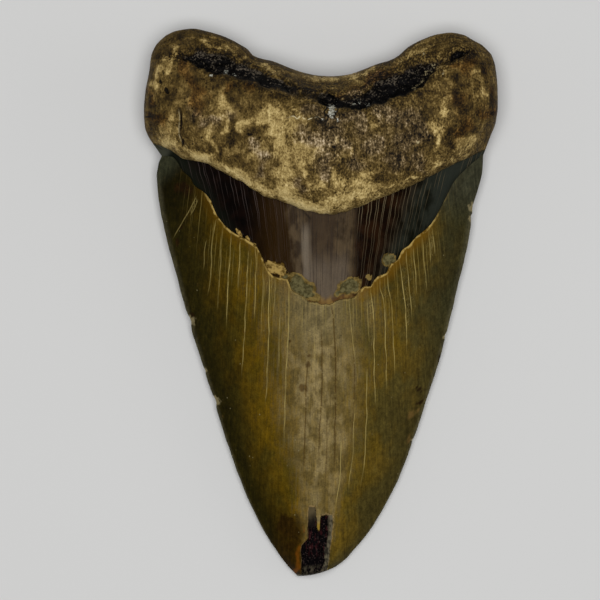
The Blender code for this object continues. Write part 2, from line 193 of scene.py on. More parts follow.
# %% [markdown]
# Worn bone and enamel are uneven at every size, so the script needs noise of its own. Each whole-number
# place gets a fixed random number by scrambling its bits, and the values between are blended: that gives
# soft clouds. One random point in every square, and the distance to the nearest of them, gives round
# cells, which turn into pores. No random generator is used, so every run is the same.

# %% Noise worked out in whole arrays
def scrambled(ix, iy, seed):
    """A fixed number from 0 to 1 for each pair of whole numbers: multiply by large odd numbers, shift
    and mix the bits, and keep the last sixteen."""
    n = (ix * 374761393 + iy * 668265263 + seed * 974634777) & 0xFFFFFFFF
    n = ((n ^ (n >> 13)) * 1274126177) & 0xFFFFFFFF
    return ((n ^ (n >> 16)) & 0xFFFF) / 0xFFFF


def clouds(x, y, size, seed):
    """Values from -1 to 1: random numbers on a square lattice of this size, blended with a soft S."""
    fx, fy = x / size, y / size
    ix, iy = np.floor(fx).astype(np.int64), np.floor(fy).astype(np.int64)
    tx, ty = smooth_step(fx - ix), smooth_step(fy - iy)
    low = scrambled(ix, iy, seed) * (1 - tx) + scrambled(ix + 1, iy, seed) * tx
    high = scrambled(ix, iy + 1, seed) * (1 - tx) + scrambled(ix + 1, iy + 1, seed) * tx
    return 2 * (low * (1 - ty) + high * ty) - 1


def layered(x, y, size, seed, layers=3):
    """Clouds of halving size and halving strength, added up."""
    return sum(0.5**k * clouds(x, y, size * 0.5**k, seed + k) for k in range(layers))


def nearest_cell(x, y, size, seed):
    """The distance to the nearest random point, one point per square, and that point's own number."""
    ix, iy = np.floor(x / size).astype(np.int64), np.floor(y / size).astype(np.int64)
    best, number = np.full(x.shape, np.inf), np.zeros(x.shape)
    for step_x in (-1, 0, 1):
        for step_y in (-1, 0, 1):
            cx, cy = ix + step_x, iy + step_y
            point_x = (cx + scrambled(cx, cy, seed)) * size
            point_y = (cy + scrambled(cx, cy, seed + 1)) * size
            away = np.hypot(x - point_x, y - point_y)
            closer = away < best
            best = np.where(closer, away, best)
            number = np.where(closer, scrambled(cx, cy, seed + 2), number)
    return best, number


def pores(x, y, size, seed, share):
    """Round pits, 1 at the middle and 0 outside: a share of the cells has one, each of its own size."""
    away, number = nearest_cell(x, y, size, seed)
    radius = size * (0.15 + 0.25 * np.clip(number / share, 0, 1))
    return np.where(number < share, smooth_step(1.2 - away / radius), 0)


sample_x, sample_y = np.meshgrid(np.linspace(0, 40, 200), np.linspace(0, 40, 200))
sample = layered(sample_x, sample_y, 3, 1)
print("layered clouds run from", sample.min().round(2), "to", sample.max().round(2))
print("share that pores cover:", (pores(sample_x, sample_y, 2, 1, 0.3) > 0.5).mean().round(3))

# %% [markdown]
# The crown is a dome on two cutting edges. Its height is a function of the place in plan: a parabola
# across the tooth, from one edge to the other, whose rise grows from the tip to the root. A height that
# depends on plan alone stays smooth however the rows bend, and the rows can then follow the enamel's edge.

# %% The crown
EDGE_HEIGHT_AT_ROOT = 7.0
# Heights as (Y, height): of the cutting edges, of the dome above them, and of the back's middle line.
CUTTING_EDGE_HEIGHT = [(-68.5, 2.2), (-35, 2.9), (5, 4), (30, 5.4), (38.4, EDGE_HEIGHT_AT_ROOT)]
CROWN_RISE = [(-68.5, 3.4), (-56, 6), (-35, 10), (-12, 13.4), (8, 15.2), (38.4, 16.2)]
BACK_MIDDLE_HEIGHT = [(-68.5, 0.9), (-60, -0.1), (-46, -0.25), (-28, 0.7), (0, 1.5), (38.4, 2.9)]
BOW_POWER = 1.5
TIP_BULGE = 0.7
TIP_BULGE_SHARE = 0.03
BACK_ENAMEL_BOW = 9.0
EDGE_WEAR = 0.06
ENAMEL_CHIPPING = 0.18
# A row's noise is read on a line that reaches this far, in millimetres, to either side.
ROW_REACH = 60


def across(left, right, u):
    """The value at u, from -1 at the left end to 1 at the right end of a straight row."""
    return left + (right - left) * (u + 1) / 2


def bow_of(line, left, right, u):
    """How far a line given as Y against X hangs below the straight row between its two ends."""
    return across(left[1], right[1], u) - smooth_table(across(left[0], right[0], u), line)


def plan(u, left, right, bow):
    """X and Y of the points of rows: straight from end to end, less the bow."""
    return across(left[0], right[0], u), across(left[1], right[1], u) - bow


def crown_edges(c):
    """The ends of the crown's rows. c is 0 at the tip and 1 at the band. A nick cuts in by its depth
    times e to the power of minus the square of (distance over half its length). Noise adds the wear."""
    ends = []
    for side, points in ((-1, CROWN_LEFT), (1, CROWN_RIGHT)):
        x, y = smooth_path(points, c)
        cut = sum(
            depth * np.exp(-(((y - nick_y) / (length / 2)) ** 2))
            for nick_side, nick_y, length, depth in NICKS
            if nick_side == side
        )
        cut = cut + EDGE_WEAR * (1 + layered(y, 0 * y, 2.0, 11 + side))
        ends.append((x - side * cut, y))
    return ends


def edge_across(y):
    """X of the left and of the right edge of crown and band at a height Y."""
    sides = ([*CROWN_LEFT, ROOT_LEFT[0]], [*CROWN_RIGHT, ROOT_RIGHT[0]])
    return [smooth_table(y, [(edge_y, edge_x) for edge_x, edge_y in side]) for side in sides]


def share_across(x, y):
    """-1 at the left edge of crown and band, 0 midway and 1 at the right edge."""
    left, right = edge_across(y)
    return (2 * x - left - right) / (right - left)


def body_heights(x, y):
    """Heights at a place in plan: of the cutting edges, of the front enamel, which is the edge plus a
    rise times a dome, and of the back enamel. The dome is 1 less the squared share across."""
    dome = 1 - np.clip(share_across(x, y), -1, 1) ** 2
    edge = smooth_table(y, CUTTING_EDGE_HEIGHT)
    back = edge - (edge - smooth_table(y, BACK_MIDDLE_HEIGHT)) * dome
    return edge, edge + smooth_table(y, CROWN_RISE) * dome, back


def enamel_bow(u):
    """The bow of the enamel's upper edge, finely chipped."""
    chipping = ENAMEL_CHIPPING * (1 - u**2) * layered(ROW_REACH * u, 0 * u, 1.1, 5)
    return bow_of(ENAMEL_EDGE, CROWN_LEFT[-1], CROWN_RIGHT[-1], u) + chipping


def tip_bow(u, c):
    """The bulge of the broken end, which fades out up the crown."""
    return TIP_BULGE * (1 - u**2) * (1 - smooth_step(c / TIP_BULGE_SHARE))


def crown_front(u, c):
    """The domed enamel face, before its breaks and cracks."""
    left, right = crown_edges(c)
    x, y = plan(u, left, right, c**BOW_POWER * enamel_bow(u) + tip_bow(u, c))
    return x, y, body_heights(x, y)[1]


def crown_back(u, c):
    """The outer enamel face: nearly flat, and lowest where it rests near the tip."""
    left, right = crown_edges(c)
    x, y = plan(u, left, right, c**BOW_POWER * BACK_ENAMEL_BOW * (1 - u**2) + tip_bow(u, c))
    return x, y, body_heights(x, y)[2]


middle_y = np.array([-60.0, -30.0, 0.0])
_, middle_front, middle_back = body_heights(0 * middle_y, middle_y)
print("thickness at Y", middle_y, "in millimetres:", (middle_front - middle_back).round(1))

# %% [markdown]
# The neck band is the strip between enamel and root where the tooth's dark dentine lies open. It follows
# the crown's own dome, one enamel thickness lower, so that the enamel ends in a real step. The step fades
# out towards the cutting edges, where the enamel wraps round. On the outer face a thin raised line takes
# the band's place.

# %% The neck band
ENAMEL_THICKNESS = 0.8
ENAMEL_FADE = 1.5
STEP_WIDTH = 0.22
ROOT_EDGE_WAVES = 0.22
BACK_ROOT_BOW = 8.0


def root_edge_bow(u):
    """The bow of the root's lower edge, with its small waves."""
    waves = ROOT_EDGE_WAVES * (1 - u**2) * layered(ROW_REACH * u, 0 * u, 2.5, 8)
    return bow_of(ROOT_EDGE, ROOT_LEFT[0], ROOT_RIGHT[0], u) + waves


def band_ends(b):
    """The ends of the band's rows, between the crown's shoulders and the root's corners."""
    return [
        (start[0] + (end[0] - start[0]) * b, start[1] + (end[1] - start[1]) * b)
        for start, end in ((CROWN_LEFT[-1], ROOT_LEFT[0]), (CROWN_RIGHT[-1], ROOT_RIGHT[0]))
    ]


def band_front(u, b):
    """The neck band: one enamel thickness below the crown, from the enamel's edge to the root's."""
    left, right = band_ends(b)
    x, y = plan(u, left, right, enamel_bow(u) * (1 - b) + root_edge_bow(u) * b)
    y = y + STEP_WIDTH * (1 - b) * (1 - u**2)
    edge, front, _ = body_heights(x, y)
    return x, y, front - ENAMEL_THICKNESS * smooth_step((front - edge) / ENAMEL_FADE)


def band_back(u, b):
    """The narrow raised line between crown and root on the outer face: half a sine wave up the band."""
    left, right = band_ends(b)
    bow = BACK_ENAMEL_BOW + (BACK_ROOT_BOW - BACK_ENAMEL_BOW) * b
    x, y = plan(u, left, right, bow * (1 - u**2))
    return x, y, body_heights(x, y)[2] + ENAMEL_THICKNESS * (1 - u**2) * np.sin(np.pi * b)


band_y = band_front(np.zeros(2), np.array([0, 1]))[1]
print("the band's middle runs from Y", band_y[0].round(1), "to", band_y[1].round(1))

# %% [markdown]
# The root is a thick roll of bone over the band. Its rows run from its lower edge through the fissure, a
# long groove below the upper rim, to its margin, so that the grid follows both. The groove's lower wall is
# steep and its upper wall is worn, so its depth falls off faster below the middle line than above it.

# %% The root's rows and its fissure
FISSURE_SHARE = 0.84
PATH_PIECES = 60
# The fissure's half width and depth, each as (X, millimetres).
FISSURE_WIDTH = [
    (-38, 0.3), (-35.5, 0.5), (-33.5, 0.8), (-31, 1.7), (-27, 2.3), (-23, 2), (-20, 1.7), (-14, 1.6),
    (-9, 1.4), (-6, 0.8), (-2, 0.7), (1.2, 1.5), (3.2, 1.3), (6, 1.1), (9, 1.4), (12, 1.9), (17, 2.4),
    (22, 2.4), (26, 2), (29, 1.1), (31, 0.7), (33, 1), (36, 0.8), (38, 0.3),
]
FISSURE_DEPTH = [
    (-38, 0), (-35, 0.8), (-30, 3.6), (-24, 4.2), (-20, 2.6), (-10, 2.2), (-6, 1.2), (-2, 1), (1.5, 3.4),
    (5, 2), (9, 2.6), (13, 4.2), (23, 4.8), (27, 3), (29.5, 1.2), (31.5, 0.8), (33.5, 3.2), (36, 2.2),
    (38.5, 0),
]


def root_ends(r):
    """The ends of the root's rows. r is 0 at its lower edge and 1 at its upper margin."""
    return smooth_path(ROOT_LEFT, r), smooth_path(ROOT_RIGHT, r)


def held_bow(line, left, right, u):
    """A line's bow, less what it has at the two ends, so that its row still starts and ends there."""
    return bow_of(line, left, right, u) - across(*bow_of(line, left, right, np.array([-1.0, 1.0])), u)


def root_bow(u, r, lower_bow):
    """The bow of a root row: from the lower edge's, through the fissure's, to the margin's."""
    fissure = held_bow(FISSURE, *root_ends(FISSURE_SHARE), u)
    margin = held_bow(ROOT_MARGIN, *root_ends(1.0), u)
    up = np.clip(r / FISSURE_SHARE, 0, 1)
    past = np.clip((r - FISSURE_SHARE) / (1 - FISSURE_SHARE), 0, 1)
    return (lower_bow * (1 - up) + fissure * up) * (1 - past) + margin * past


def to_path(x, y, path_x, path_y):
    """The distance in plan from every point to a path, positive on the path's left side, and the
    share of the path's pieces walked at the nearest place."""
    nearest, side, share = np.full(x.shape, np.inf), np.ones(x.shape), np.zeros(x.shape)
    pieces = len(path_x) - 1
    for k in range(pieces):
        run_x, run_y = path_x[k + 1] - path_x[k], path_y[k + 1] - path_y[k]
        from_x, from_y = x - path_x[k], y - path_y[k]
        t = np.clip((from_x * run_x + from_y * run_y) / (run_x**2 + run_y**2), 0, 1)
        away = np.hypot(from_x - t * run_x, from_y - t * run_y)
        closer = away < nearest
        nearest = np.where(closer, away, nearest)
        side = np.where(closer, np.where(run_x * from_y > run_y * from_x, 1, -1), side)
        share = np.where(closer, (k + t) / pieces, share)
    return nearest * side, share


def root_outline():
    """The root's outline from its lower left corner over the margin to its lower right corner."""
    share = np.linspace(0, 1, PATH_PIECES // 2)
    left_x, left_y = smooth_path(ROOT_LEFT, share)
    right_x, right_y = smooth_path(ROOT_RIGHT, share[::-1])
    margin_x = np.linspace(ROOT_MARGIN[0][0], ROOT_MARGIN[-1][0], PATH_PIECES)[1:-1]
    margin_y = smooth_table(margin_x, ROOT_MARGIN)
    return np.concatenate([left_x, margin_x, right_x]), np.concatenate([left_y, margin_y, right_y])


def from_fissure(x, y):
    """The distance from the fissure's middle line, positive above it."""
    path_x = np.linspace(FISSURE_WIDTH[0][0], FISSURE_WIDTH[-1][0], PATH_PIECES)
    return to_path(x, y, path_x, smooth_table(path_x, FISSURE))[0]


def fissure_groove(x, y):
    """1 in the middle of the fissure and 0 outside it: e to the power of minus a high power of the
    distance over the half width, with a higher power below the middle line than above."""
    away = (from_fissure(x, y) + 0.55 * layered(x, y, 2.6, 21, 4)) / smooth_table(x, FISSURE_WIDTH)
    return np.where(away > 0, np.exp(-(np.abs(away / 1.15) ** 3)), np.exp(-(away**6)))


print("pieces in the root's outline:", len(root_outline()[0]) - 1)

# %% [markdown]
# With the rows laid out, the heights follow: the lip, the roll up to the crest, which is highest in the
# middle, and the outline, where front and back meet. Pits, hollows and low swellings are soft bumps. On
# the outer face the two lobes come down to the ground, with a shallow hollow between them.

# %% The root's two faces
ROOT_LIP = 1.3
ROOT_LIP_END_POWER = 8
ROOT_MARGIN_HEIGHT = 10.0
ROOT_LOBE_HEIGHT = 20.5
ROOT_CENTRE_EXTRA = 9.0
ROOT_CENTRE_HALF_WIDTH = 19.0
ROOT_FRONT_ROUNDING = 11.0
ROOT_BACK_ROUNDING = 9.0
ROOT_BACK_HOLLOW = 3.2
ROOT_BACK_HOLLOW_HALF_WIDTH = 15.0
ROOT_BACK_ROLL_SHARE = 0.3
ROOT_ROLL_SHARE = 0.46
REST_SINK = 0.45
# The crest's height as a share of its full height, for each share of the way up the root.
CREST_SHARE = [(0, 1), (0.5, 1), (0.72, 0.96), (0.84, 0.88), (0.92, 0.78), (1, 0.7)]
# Pits, hollows and swellings of the root: X, Y, radius and depth, with swellings below zero.
PITS = [
    (2, 50.4, 1.8, 1.8), (1.4, 43.4, 1.8, 0.5), (-38.3, 53.2, 1.6, 0.5), (-31.5, 56.5, 6.5, 0.7),
    (-35, 43.5, 2.2, 0.5), (41.2, 47.4, 2, 0.5), (20.5, 45, 8, 0.7), (-39.8, 58, 4, -0.5),
    (-24.5, 49.5, 6, -0.6), (30.5, 44.5, 5, -0.6), (-1, 32, 10, -0.6),
]


def margin_height(r):
    """The height of the root's outline, where front and back meet."""
    return EDGE_HEIGHT_AT_ROOT + (ROOT_MARGIN_HEIGHT - EDGE_HEIGHT_AT_ROOT) * smooth_step(2 * r)


def root_front(u, r):
    """The root's inner face: a quarter round climbs from the lip to the crest and another one falls to
    the outline. The fissure and the pits are cut in. A swelling is a pit with a depth below zero."""
    left, right = root_ends(r)
    x, y = plan(u, left, right, root_bow(u, r, root_edge_bow(u)))
    crest = ROOT_LOBE_HEIGHT + ROOT_CENTRE_EXTRA * np.exp(-((x / ROOT_CENTRE_HALF_WIDTH) ** 2))
    crest = crest * smooth_table(r, CREST_SHARE)
    rounded = quarter_round(np.abs(to_path(x, y, *root_outline())[0]) / ROOT_FRONT_ROUNDING)
    full = margin_height(r) + (crest - margin_height(r)) * rounded
    lip = band_front(u, 1)[2] + ROOT_LIP * (1 - u**ROOT_LIP_END_POWER)
    z = lip + (full - lip) * quarter_round(r / ROOT_ROLL_SHARE)
    z = z - smooth_table(x, FISSURE_DEPTH) * fissure_groove(x, y) * rounded
    for pit_x, pit_y, radius, depth in PITS:
        z = z - depth * bump(x, y, pit_x, pit_y, radius)
    return x, y, z


def root_back(u, r):
    """The root's outer face: two lobes that rest on the ground, with a bell-shaped hollow between them.
    A quarter round of the distance to the outline leads up to the margin."""
    left, right = root_ends(r)
    x, y = plan(u, left, right, root_bow(u, r, BACK_ROOT_BOW * (1 - u**2)))
    lowest = ROOT_BACK_HOLLOW * np.exp(-((x / ROOT_BACK_HOLLOW_HALF_WIDTH) ** 2)) - REST_SINK
    rounded = quarter_round(np.abs(to_path(x, y, *root_outline())[0]) / ROOT_BACK_ROUNDING)
    full = margin_height(r) - (margin_height(r) - lowest) * rounded
    start = band_back(u, 1)[2]
    return x, y, start + (full - start) * smooth_step(r / ROOT_BACK_ROLL_SHARE)


heights = root_front(np.zeros((1, 1)), np.linspace(0, 1, 30)[:, None])[2]
print("the root's highest point in the middle:", heights.max().round(1))

# %% [markdown]
# Now the two sheets are laid out row by row. Rows lie close together where there is relief, at the tip,
# the enamel's edge, the lip and the fissure, and further apart on the smooth crown. The front's first
# rows climb the broken end of the tip, from the back sheet up to the enamel. The back is flat and out
# of sight, so it uses every second row and column.

# %% The two sheets
COLUMNS = 236
EDGE_CROWDING = 0.4
END_ROWS = 7
END_SHARE = 0.006
# Rows of crown, band and root as (share where a stretch begins, share where it ends, rows in it).
CROWN_ROWS = [(END_SHARE, 0.16, 52), (0.16, 0.95, 84), (0.95, 1, 22)]
BAND_ROWS = [(0, 0.06, 3), (0.06, 1, 38)]
ROOT_ROWS = [(0, 0.1, 13), (0.1, 0.7, 52), (0.7, 0.96, 36), (0.96, 1, 9)]


def row_shares(stretches):
    """The shares at which a section's rows lie, as a column so that they spread over the grid."""
    starts = [np.linspace(begin, end, count, endpoint=False) for begin, end, count in stretches]
    return np.concatenate([*starts, [stretches[-1][1]]])[:, None]


even = np.linspace(-1, 1, COLUMNS + 1)[None, :]
u = (1 - EDGE_CROWDING) * even + EDGE_CROWDING * np.sin(np.pi / 2 * even)
end_share = np.linspace(0, END_SHARE, END_ROWS, endpoint=False)[:, None]
climb = np.linspace(0, 1, END_ROWS, endpoint=False)[:, None]
end_back, end_front = np.stack(crown_back(u, end_share)), np.stack(crown_front(u, end_share))
front, back = [end_back * (1 - climb) + end_front * climb], [end_back]
section = [np.full(END_ROWS, "end")]
for name, front_of, back_of, stretches in (
    ("crown", crown_front, crown_back, CROWN_ROWS),
    ("band", band_front, band_back, BAND_ROWS),
    ("root", root_front, root_back, ROOT_ROWS),
):
    share = row_shares(stretches)
    front.append(np.stack(np.broadcast_arrays(*front_of(u, share))))
    back.append(np.stack(np.broadcast_arrays(*back_of(u, share))))
    section.append(np.full(len(share), name))
front, back = np.concatenate(front, axis=1), np.concatenate(back, axis=1)[:, ::2, ::2]
section = np.concatenate(section)[:, None]
print("rows and columns of the front:", front.shape[1:], "and of the back:", back.shape[1:])

# %% [markdown]
# The fine shape comes on top: what has broken away, what is stuck on, and how the surface is worn. The
# end of the tip has lost a splintered piece of enamel, so the dark dentine lies open in a slot. Chips of
# enamel and crust still cling to the band above the enamel's edge, two of them hollow, like small rings.

# %% The broken tip and the chips
# The slot's two walls as (Y, X), and its upper end as (X, Y).
BREAK_LEFT = [
    (-68.5, -4.9), (-65.7, -4.8), (-62, -5), (-60.8, -4.8), (-59.7, -3.9), (-58.5, -3.2), (-56.7, -3.2),
    (-53.5, -3.2), (-51.2, -3.1),
]
BREAK_RIGHT = [(-68.5, 1.4), (-65.5, 1.8), (-62.1, 2.2), (-58.5, 2.7), (-54.2, 3.1), (-51.2, 3)]
BREAK_TOP = [
    (-5.2, -59.5), (-3.4, -53), (-3, -51.1), (-1.5, -50.7), (-1.2, -52), (-0.9, -56.6), (-0.4, -57),
    (-0.1, -54), (0.2, -52.9), (2.8, -52.6), (3.4, -54),
]
BREAK_WALL = 0.3
BREAK_DEPTH = 1.8
SPLINTER_X = -0.6
# Chips: X, Y, half length, half width, turn in degrees, height and depth of the hollow in the middle.
CHIPS = [
    (-11.2, 8.7, 2.6, 1.6, -25, 0.55, 0), (-5.4, 4.1, 4.6, 2.4, -30, 0.5, 0.7),
    (-1.6, 1.4, 1.5, 0.9, 0, 0.3, 0), (6.6, 3.9, 3.3, 2.2, 20, 0.5, 0.5),
    (11.9, 6.4, 1, 0.6, -30, 0.25, 0), (16.7, 10.7, 1.9, 1.9, 0, 0.55, 0.4),
    (-20.4, 17.4, 1.3, 0.45, -60, 0.5, 0), (-18.2, 15.6, 1, 0.5, 100, 0.6, 0),
    (-16.8, 14.6, 0.7, 0.5, 0, 0.4, 0),
]


def turned(x, y, centre_x, centre_y, turn):
    """How far places lie from a centre, along a direction turned by some degrees and aside of it."""
    cos, sin = np.cos(np.radians(turn)), np.sin(np.radians(turn))
    from_x, from_y = x - centre_x, y - centre_y
    return from_x * cos + from_y * sin, from_y * cos - from_x * sin


def tip_break(x, y):
    """How far the open dentine lies below the enamel, and how far a point is inside the slot: 1 inside
    its two walls and below its upper end, 0 outside, with a soft S between."""
    ragged = 0.12 * layered(x, y, 1.4, 31)
    from_left = x - smooth_table(y, BREAK_LEFT) + ragged
    from_right = smooth_table(y, BREAK_RIGHT) - x + ragged
    from_top = smooth_table(x, BREAK_TOP) - y + ragged
    inside = smooth_step(np.minimum(np.minimum(from_left, from_right), from_top) / BREAK_WALL + 0.5)
    down_left = 0.3 + 0.7 * smooth_step((-52.0 - y) / 5)
    down_right = 0.25 + 0.75 * smooth_step(from_right / 2.4)
    depth = BREAK_DEPTH * np.where(x < SPLINTER_X, down_left, down_right)
    splinters = 0.25 * layered(x, y / 4, 1.2, 33) + 0.12 * layered(x, y, 0.7, 35)
    return (depth + splinters) * inside, inside


def chips(x, y):
    """The height of the chips and two masks: all of a chip, and the hollow in its middle. A chip is an
    ellipse with a ragged edge: its own distance is 0 in the middle and 1 at the edge."""
    height, whole, core = np.zeros(x.shape), np.zeros(x.shape), np.zeros(x.shape)
    for chip_x, chip_y, length, width, turn, rise, hollow in CHIPS:
        along, aside = turned(x, y, chip_x, chip_y, turn)
        out = np.hypot(along / length, aside / width) + 0.34 * layered(x, y, 1.9, 41, 4)
        inside, middle = smooth_step((1.1 - out) / 0.25), smooth_step((0.86 - out) / 0.2)
        lumps = 1 + 0.35 * layered(x, y, 0.9, 43)
        height = np.maximum(height, rise * inside * lumps) - hollow * middle
        whole = np.maximum(whole, smooth_step((1.25 - out) / 0.5))
        core = np.maximum(core, middle * np.sign(hollow))
    return height, whole, core


front_x, front_y, _ = front
broken_depth, broken = tip_break(front_x, front_y)
chip_height, chip, chip_core = chips(front_x, front_y)
on_crown, on_band, on_root = section == "crown", section == "band", section == "root"
broken = np.where(section == "end", 1, broken * on_crown)
front[2] -= broken_depth * on_crown
front[2] += chip_height * on_band * smooth_step((front_y - smooth_table(front_x, ENAMEL_EDGE)) / 0.3)
print("deepest point of the break in millimetres:", round((broken_depth * on_crown).max(), 2))

# %% [markdown]
# Small relief moves each point along the surface's own normal, which the grid gives for nothing: the
# cross product of the step to the next column and the step to the next row. Bone is lumpy and full of
# pores, enamel only ripples, and the band has long ridges. All of it fades out at the border, where the
# front meets the back.

# %% Relief along the normals
RIM_FADE = 1.2
# The back reads the same noise this far to the side, so that its relief isn't the front's.
BACK_SHIFT = 200
# Slits and small holes in the bone: X, Y, half length, half width, turn in degrees and depth.
SLITS = [
    (-38.3, 52.7, 0.95, 0.38, 113, 0.7), (-39.8, 54.9, 0.8, 0.3, 117, 0.5),
    (-39.2, 57.3, 0.7, 0.25, 95, 0.4), (-34.7, 45.3, 2.6, 0.3, 92, 0.4), (-34.3, 39.8, 1.2, 0.35, 85, 0.5),
    (3.1, 38.5, 0.5, 0.45, 0, 0.5), (38.8, 46.7, 0.45, 0.35, 0, 0.3), (2.2, 43.4, 1.6, 0.3, -10, 0.3),
    (1.8, 50.4, 1.2, 1.3, 0, 1.2), (-17.6, 41.7, 0.9, 0.5, 0, 0.3), (-43, 46.4, 1.2, 0.25, 5, 0.3),
    (42.6, 47.3, 1, 0.3, 40, 0.3),
]


def normals_of(sheet):
    """Unit normals of a grid of points: the cross product of its steps across and up."""
    normal = np.cross(np.gradient(sheet, axis=2), np.gradient(sheet, axis=1), axis=0)
    return normal / np.maximum(np.linalg.norm(normal, axis=0), 1e-9)


def slits(x, y):
    """The depth of the slits: long soft ellipses, e to the power of minus the fourth power."""
    depth = np.zeros(x.shape)
    for slit_x, slit_y, length, width, turn, deep in SLITS:
        along, aside = turned(x, y, slit_x, slit_y, turn)
        depth = np.maximum(depth, deep * np.exp(-(((along / length) ** 2 + (aside / width) ** 2) ** 2)))
    return depth


def bone_relief(x, y, fissure):
    """Lumps of three sizes, less the pores and the slits, with loose crumbs in the fissure."""
    lumps = 0.28 * layered(x, y, 7, 51) + 0.12 * layered(x, y, 2.2, 54)
    crumbs = 0.55 * layered(x, y, 1.3, 61) * fissure
    return lumps + crumbs - 0.25 * pores(x, y, 1.9, 63, 0.28) - slits(x, y)


def enamel_relief(x, y):
    """Long low ripples that run from root to tip."""
    return 0.05 * layered(x, y / 9, 3.5, 71) + 0.02 * layered(x, y, 1.2, 74)


def band_relief(x, y):
    """Ridges that run from the root to the enamel, with a few deeper ones."""
    return 0.07 * layered(x, y / 14, 2.4, 81)


def relief_of(x, y, on_root, on_band, fissure):
    """Each section's own relief."""
    beside_root = np.where(on_band, band_relief(x, y), enamel_relief(x, y))
    return np.where(on_root, bone_relief(x, y, fissure), beside_root)


def inside_border(sheet):
    """0 on the border of a sheet, and 1 from the rim's width inwards."""
    x, y, _ = sheet
    to_side = np.minimum(np.hypot(x - x[:, :1], y - y[:, :1]), np.hypot(x - x[:, -1:], y - y[:, -1:]))
    to_end = np.minimum(np.hypot(x - x[:1], y - y[:1]), np.hypot(x - x[-1:], y - y[-1:]))
    return smooth_step(np.minimum(to_side, to_end) / RIM_FADE)


back_x, back_y, _ = back
fissure = fissure_groove(front_x, front_y) * on_root
relief = relief_of(front_x, front_y, on_root, on_band, fissure) * (1 - broken)
front += normals_of(front) * relief * inside_border(front)
back_relief = relief_of(back_x + BACK_SHIFT, back_y, on_root[::2], on_band[::2], 0 * back_x)
back -= normals_of(back) * back_relief * inside_border(back)

back[:, :, [0, -1]], back[:, [0, -1]] = front[:, ::2, ::2][:, :, [0, -1]], front[:, ::2, ::2][:, [0, -1]]
low, high = (np.array(corner)[:, None, None] / MM for corner in cad_box)
front, back = np.clip(front, low, high), np.clip(back, low, high)
print("relief in millimetres:", round(relief.min(), 2), "to", round(relief.max(), 2))

# %% [markdown]
# The two sheets become one closed mesh without merging anything: the back's border simply uses the
# front's own points. Since the back has half as many, a face of the back that touches the border takes
# the front's midpoint in as an extra corner. Each back face is written as a ring of eight, four corners
# and the midpoints between them, and the midpoints that aren't there are dropped.

# %% Sew the sheets
rows, columns = front.shape[1:]
front_at = np.arange(rows * columns).reshape(rows, columns)
back_at = front_at[::2, ::2].copy()
inner = back_at[1:-1, 1:-1]
inner[...] = rows * columns + np.arange(inner.size).reshape(inner.shape)
places = np.concatenate([front.reshape(3, -1).T, back[:, 1:-1, 1:-1].reshape(3, -1).T])


def face_corners(at):
    """The numbers of each face's four corners: low left, low right, high right and high left."""
    return at[:-1, :-1], at[:-1, 1:], at[1:, 1:], at[1:, :-1]


front_faces = np.stack(face_corners(front_at), axis=-1)
low_left, low_right, high_right, high_left = face_corners(back_at)
west = np.full(low_left.shape, -1)
east, south, north = west.copy(), west.copy(), west.copy()
west[:, 0], east[:, -1] = front_at[1::2, 0], front_at[1::2, -1]
south[0], north[-1] = front_at[0, 1::2], front_at[-1, 1::2]
back_faces = np.stack([low_left, west, high_left, north, high_right, east, low_right, south], axis=-1)
corners = np.concatenate([front_faces.ravel(), back_faces[back_faces >= 0]])
sizes = np.concatenate([np.full((rows - 1) * (columns - 1), 4), (back_faces >= 0).sum(-1).ravel()])

mesh = bpy.data.meshes.new("tooth_surface")
mesh.vertices.add(len(places))
mesh.vertices.foreach_set("co", (places * MM).astype(np.float32).ravel())
mesh.loops.add(len(corners))
mesh.loops.foreach_set("vertex_index", corners.astype(np.int32))
mesh.polygons.add(len(sizes))
mesh.polygons.foreach_set("loop_start", (np.cumsum(sizes) - sizes).astype(np.int32))
mesh.update(calc_edges=True)
print("faces:", len(sizes), "triangles:", int((sizes - 2).sum()), "faulty:", mesh.validate())

# %% [markdown]
# A finish follows the shape of the tooth: the enamel's edge, the root's lip, the cracks. So the script
# measures each point of the mesh against these lines and stores the result as an attribute, which the
# materials read by name. A distance in millimetres is stored, not a colour, because a distance blends
# evenly between two points and gives a crisp line wherever the material asks for one. Where the back has
# none of these lines, it gets one value that lies far from them.

# %% Marks on the mesh
EDGE_POINTS = 200
FULL_FISSURE_DEPTH = 3.5
ROOT_OUTLINE_LENGTH = 220


def mark(name, front_values, back_values=0):
    """Stores one number for each point of the mesh under a name, from arrays over front and back."""
    inner_values = np.broadcast_to(back_values, back_at.shape)[1:-1, 1:-1]
    values = np.concatenate([np.broadcast_to(front_values, front_at.shape).ravel(), inner_values.ravel()])
    mesh.attributes.new(name, "FLOAT", "POINT").data.foreach_set("value", values.astype(np.float32))


mark("across", share_across(front[0], front[1]), share_across(back[0], back[1]))
edge_x = np.linspace(ENAMEL_EDGE[0][0], ENAMEL_EDGE[-1][0], EDGE_POINTS)
edge_share = (edge_x - edge_x[0]) / (edge_x[-1] - edge_x[0])
edge_row = CROWN_LEFT[-1][1] + (CROWN_RIGHT[-1][1] - CROWN_LEFT[-1][1]) * edge_share
edge_y = edge_row - enamel_bow(2 * edge_share - 1)
mark("to_edge", -to_path(front_x, front_y, edge_x, edge_y)[0], 20)
mark("to_lip", front_y - smooth_table(front_x, ROOT_EDGE), 5)

mark("fissure", fissure * smooth_table(front_x, FISSURE_DEPTH) / FULL_FISSURE_DEPTH)
fissure_width = smooth_table(front_x, FISSURE_WIDTH)
above_fissure = from_fissure(front_x, front_y) - 0.4 * fissure_width
beside = np.exp(-((above_fissure / (1.3 * fissure_width + 0.6)) ** 2))
mark("beside_fissure", beside * on_root)
mark("fissure_side", np.clip(above_fissure / fissure_width, -3, 3), 3)

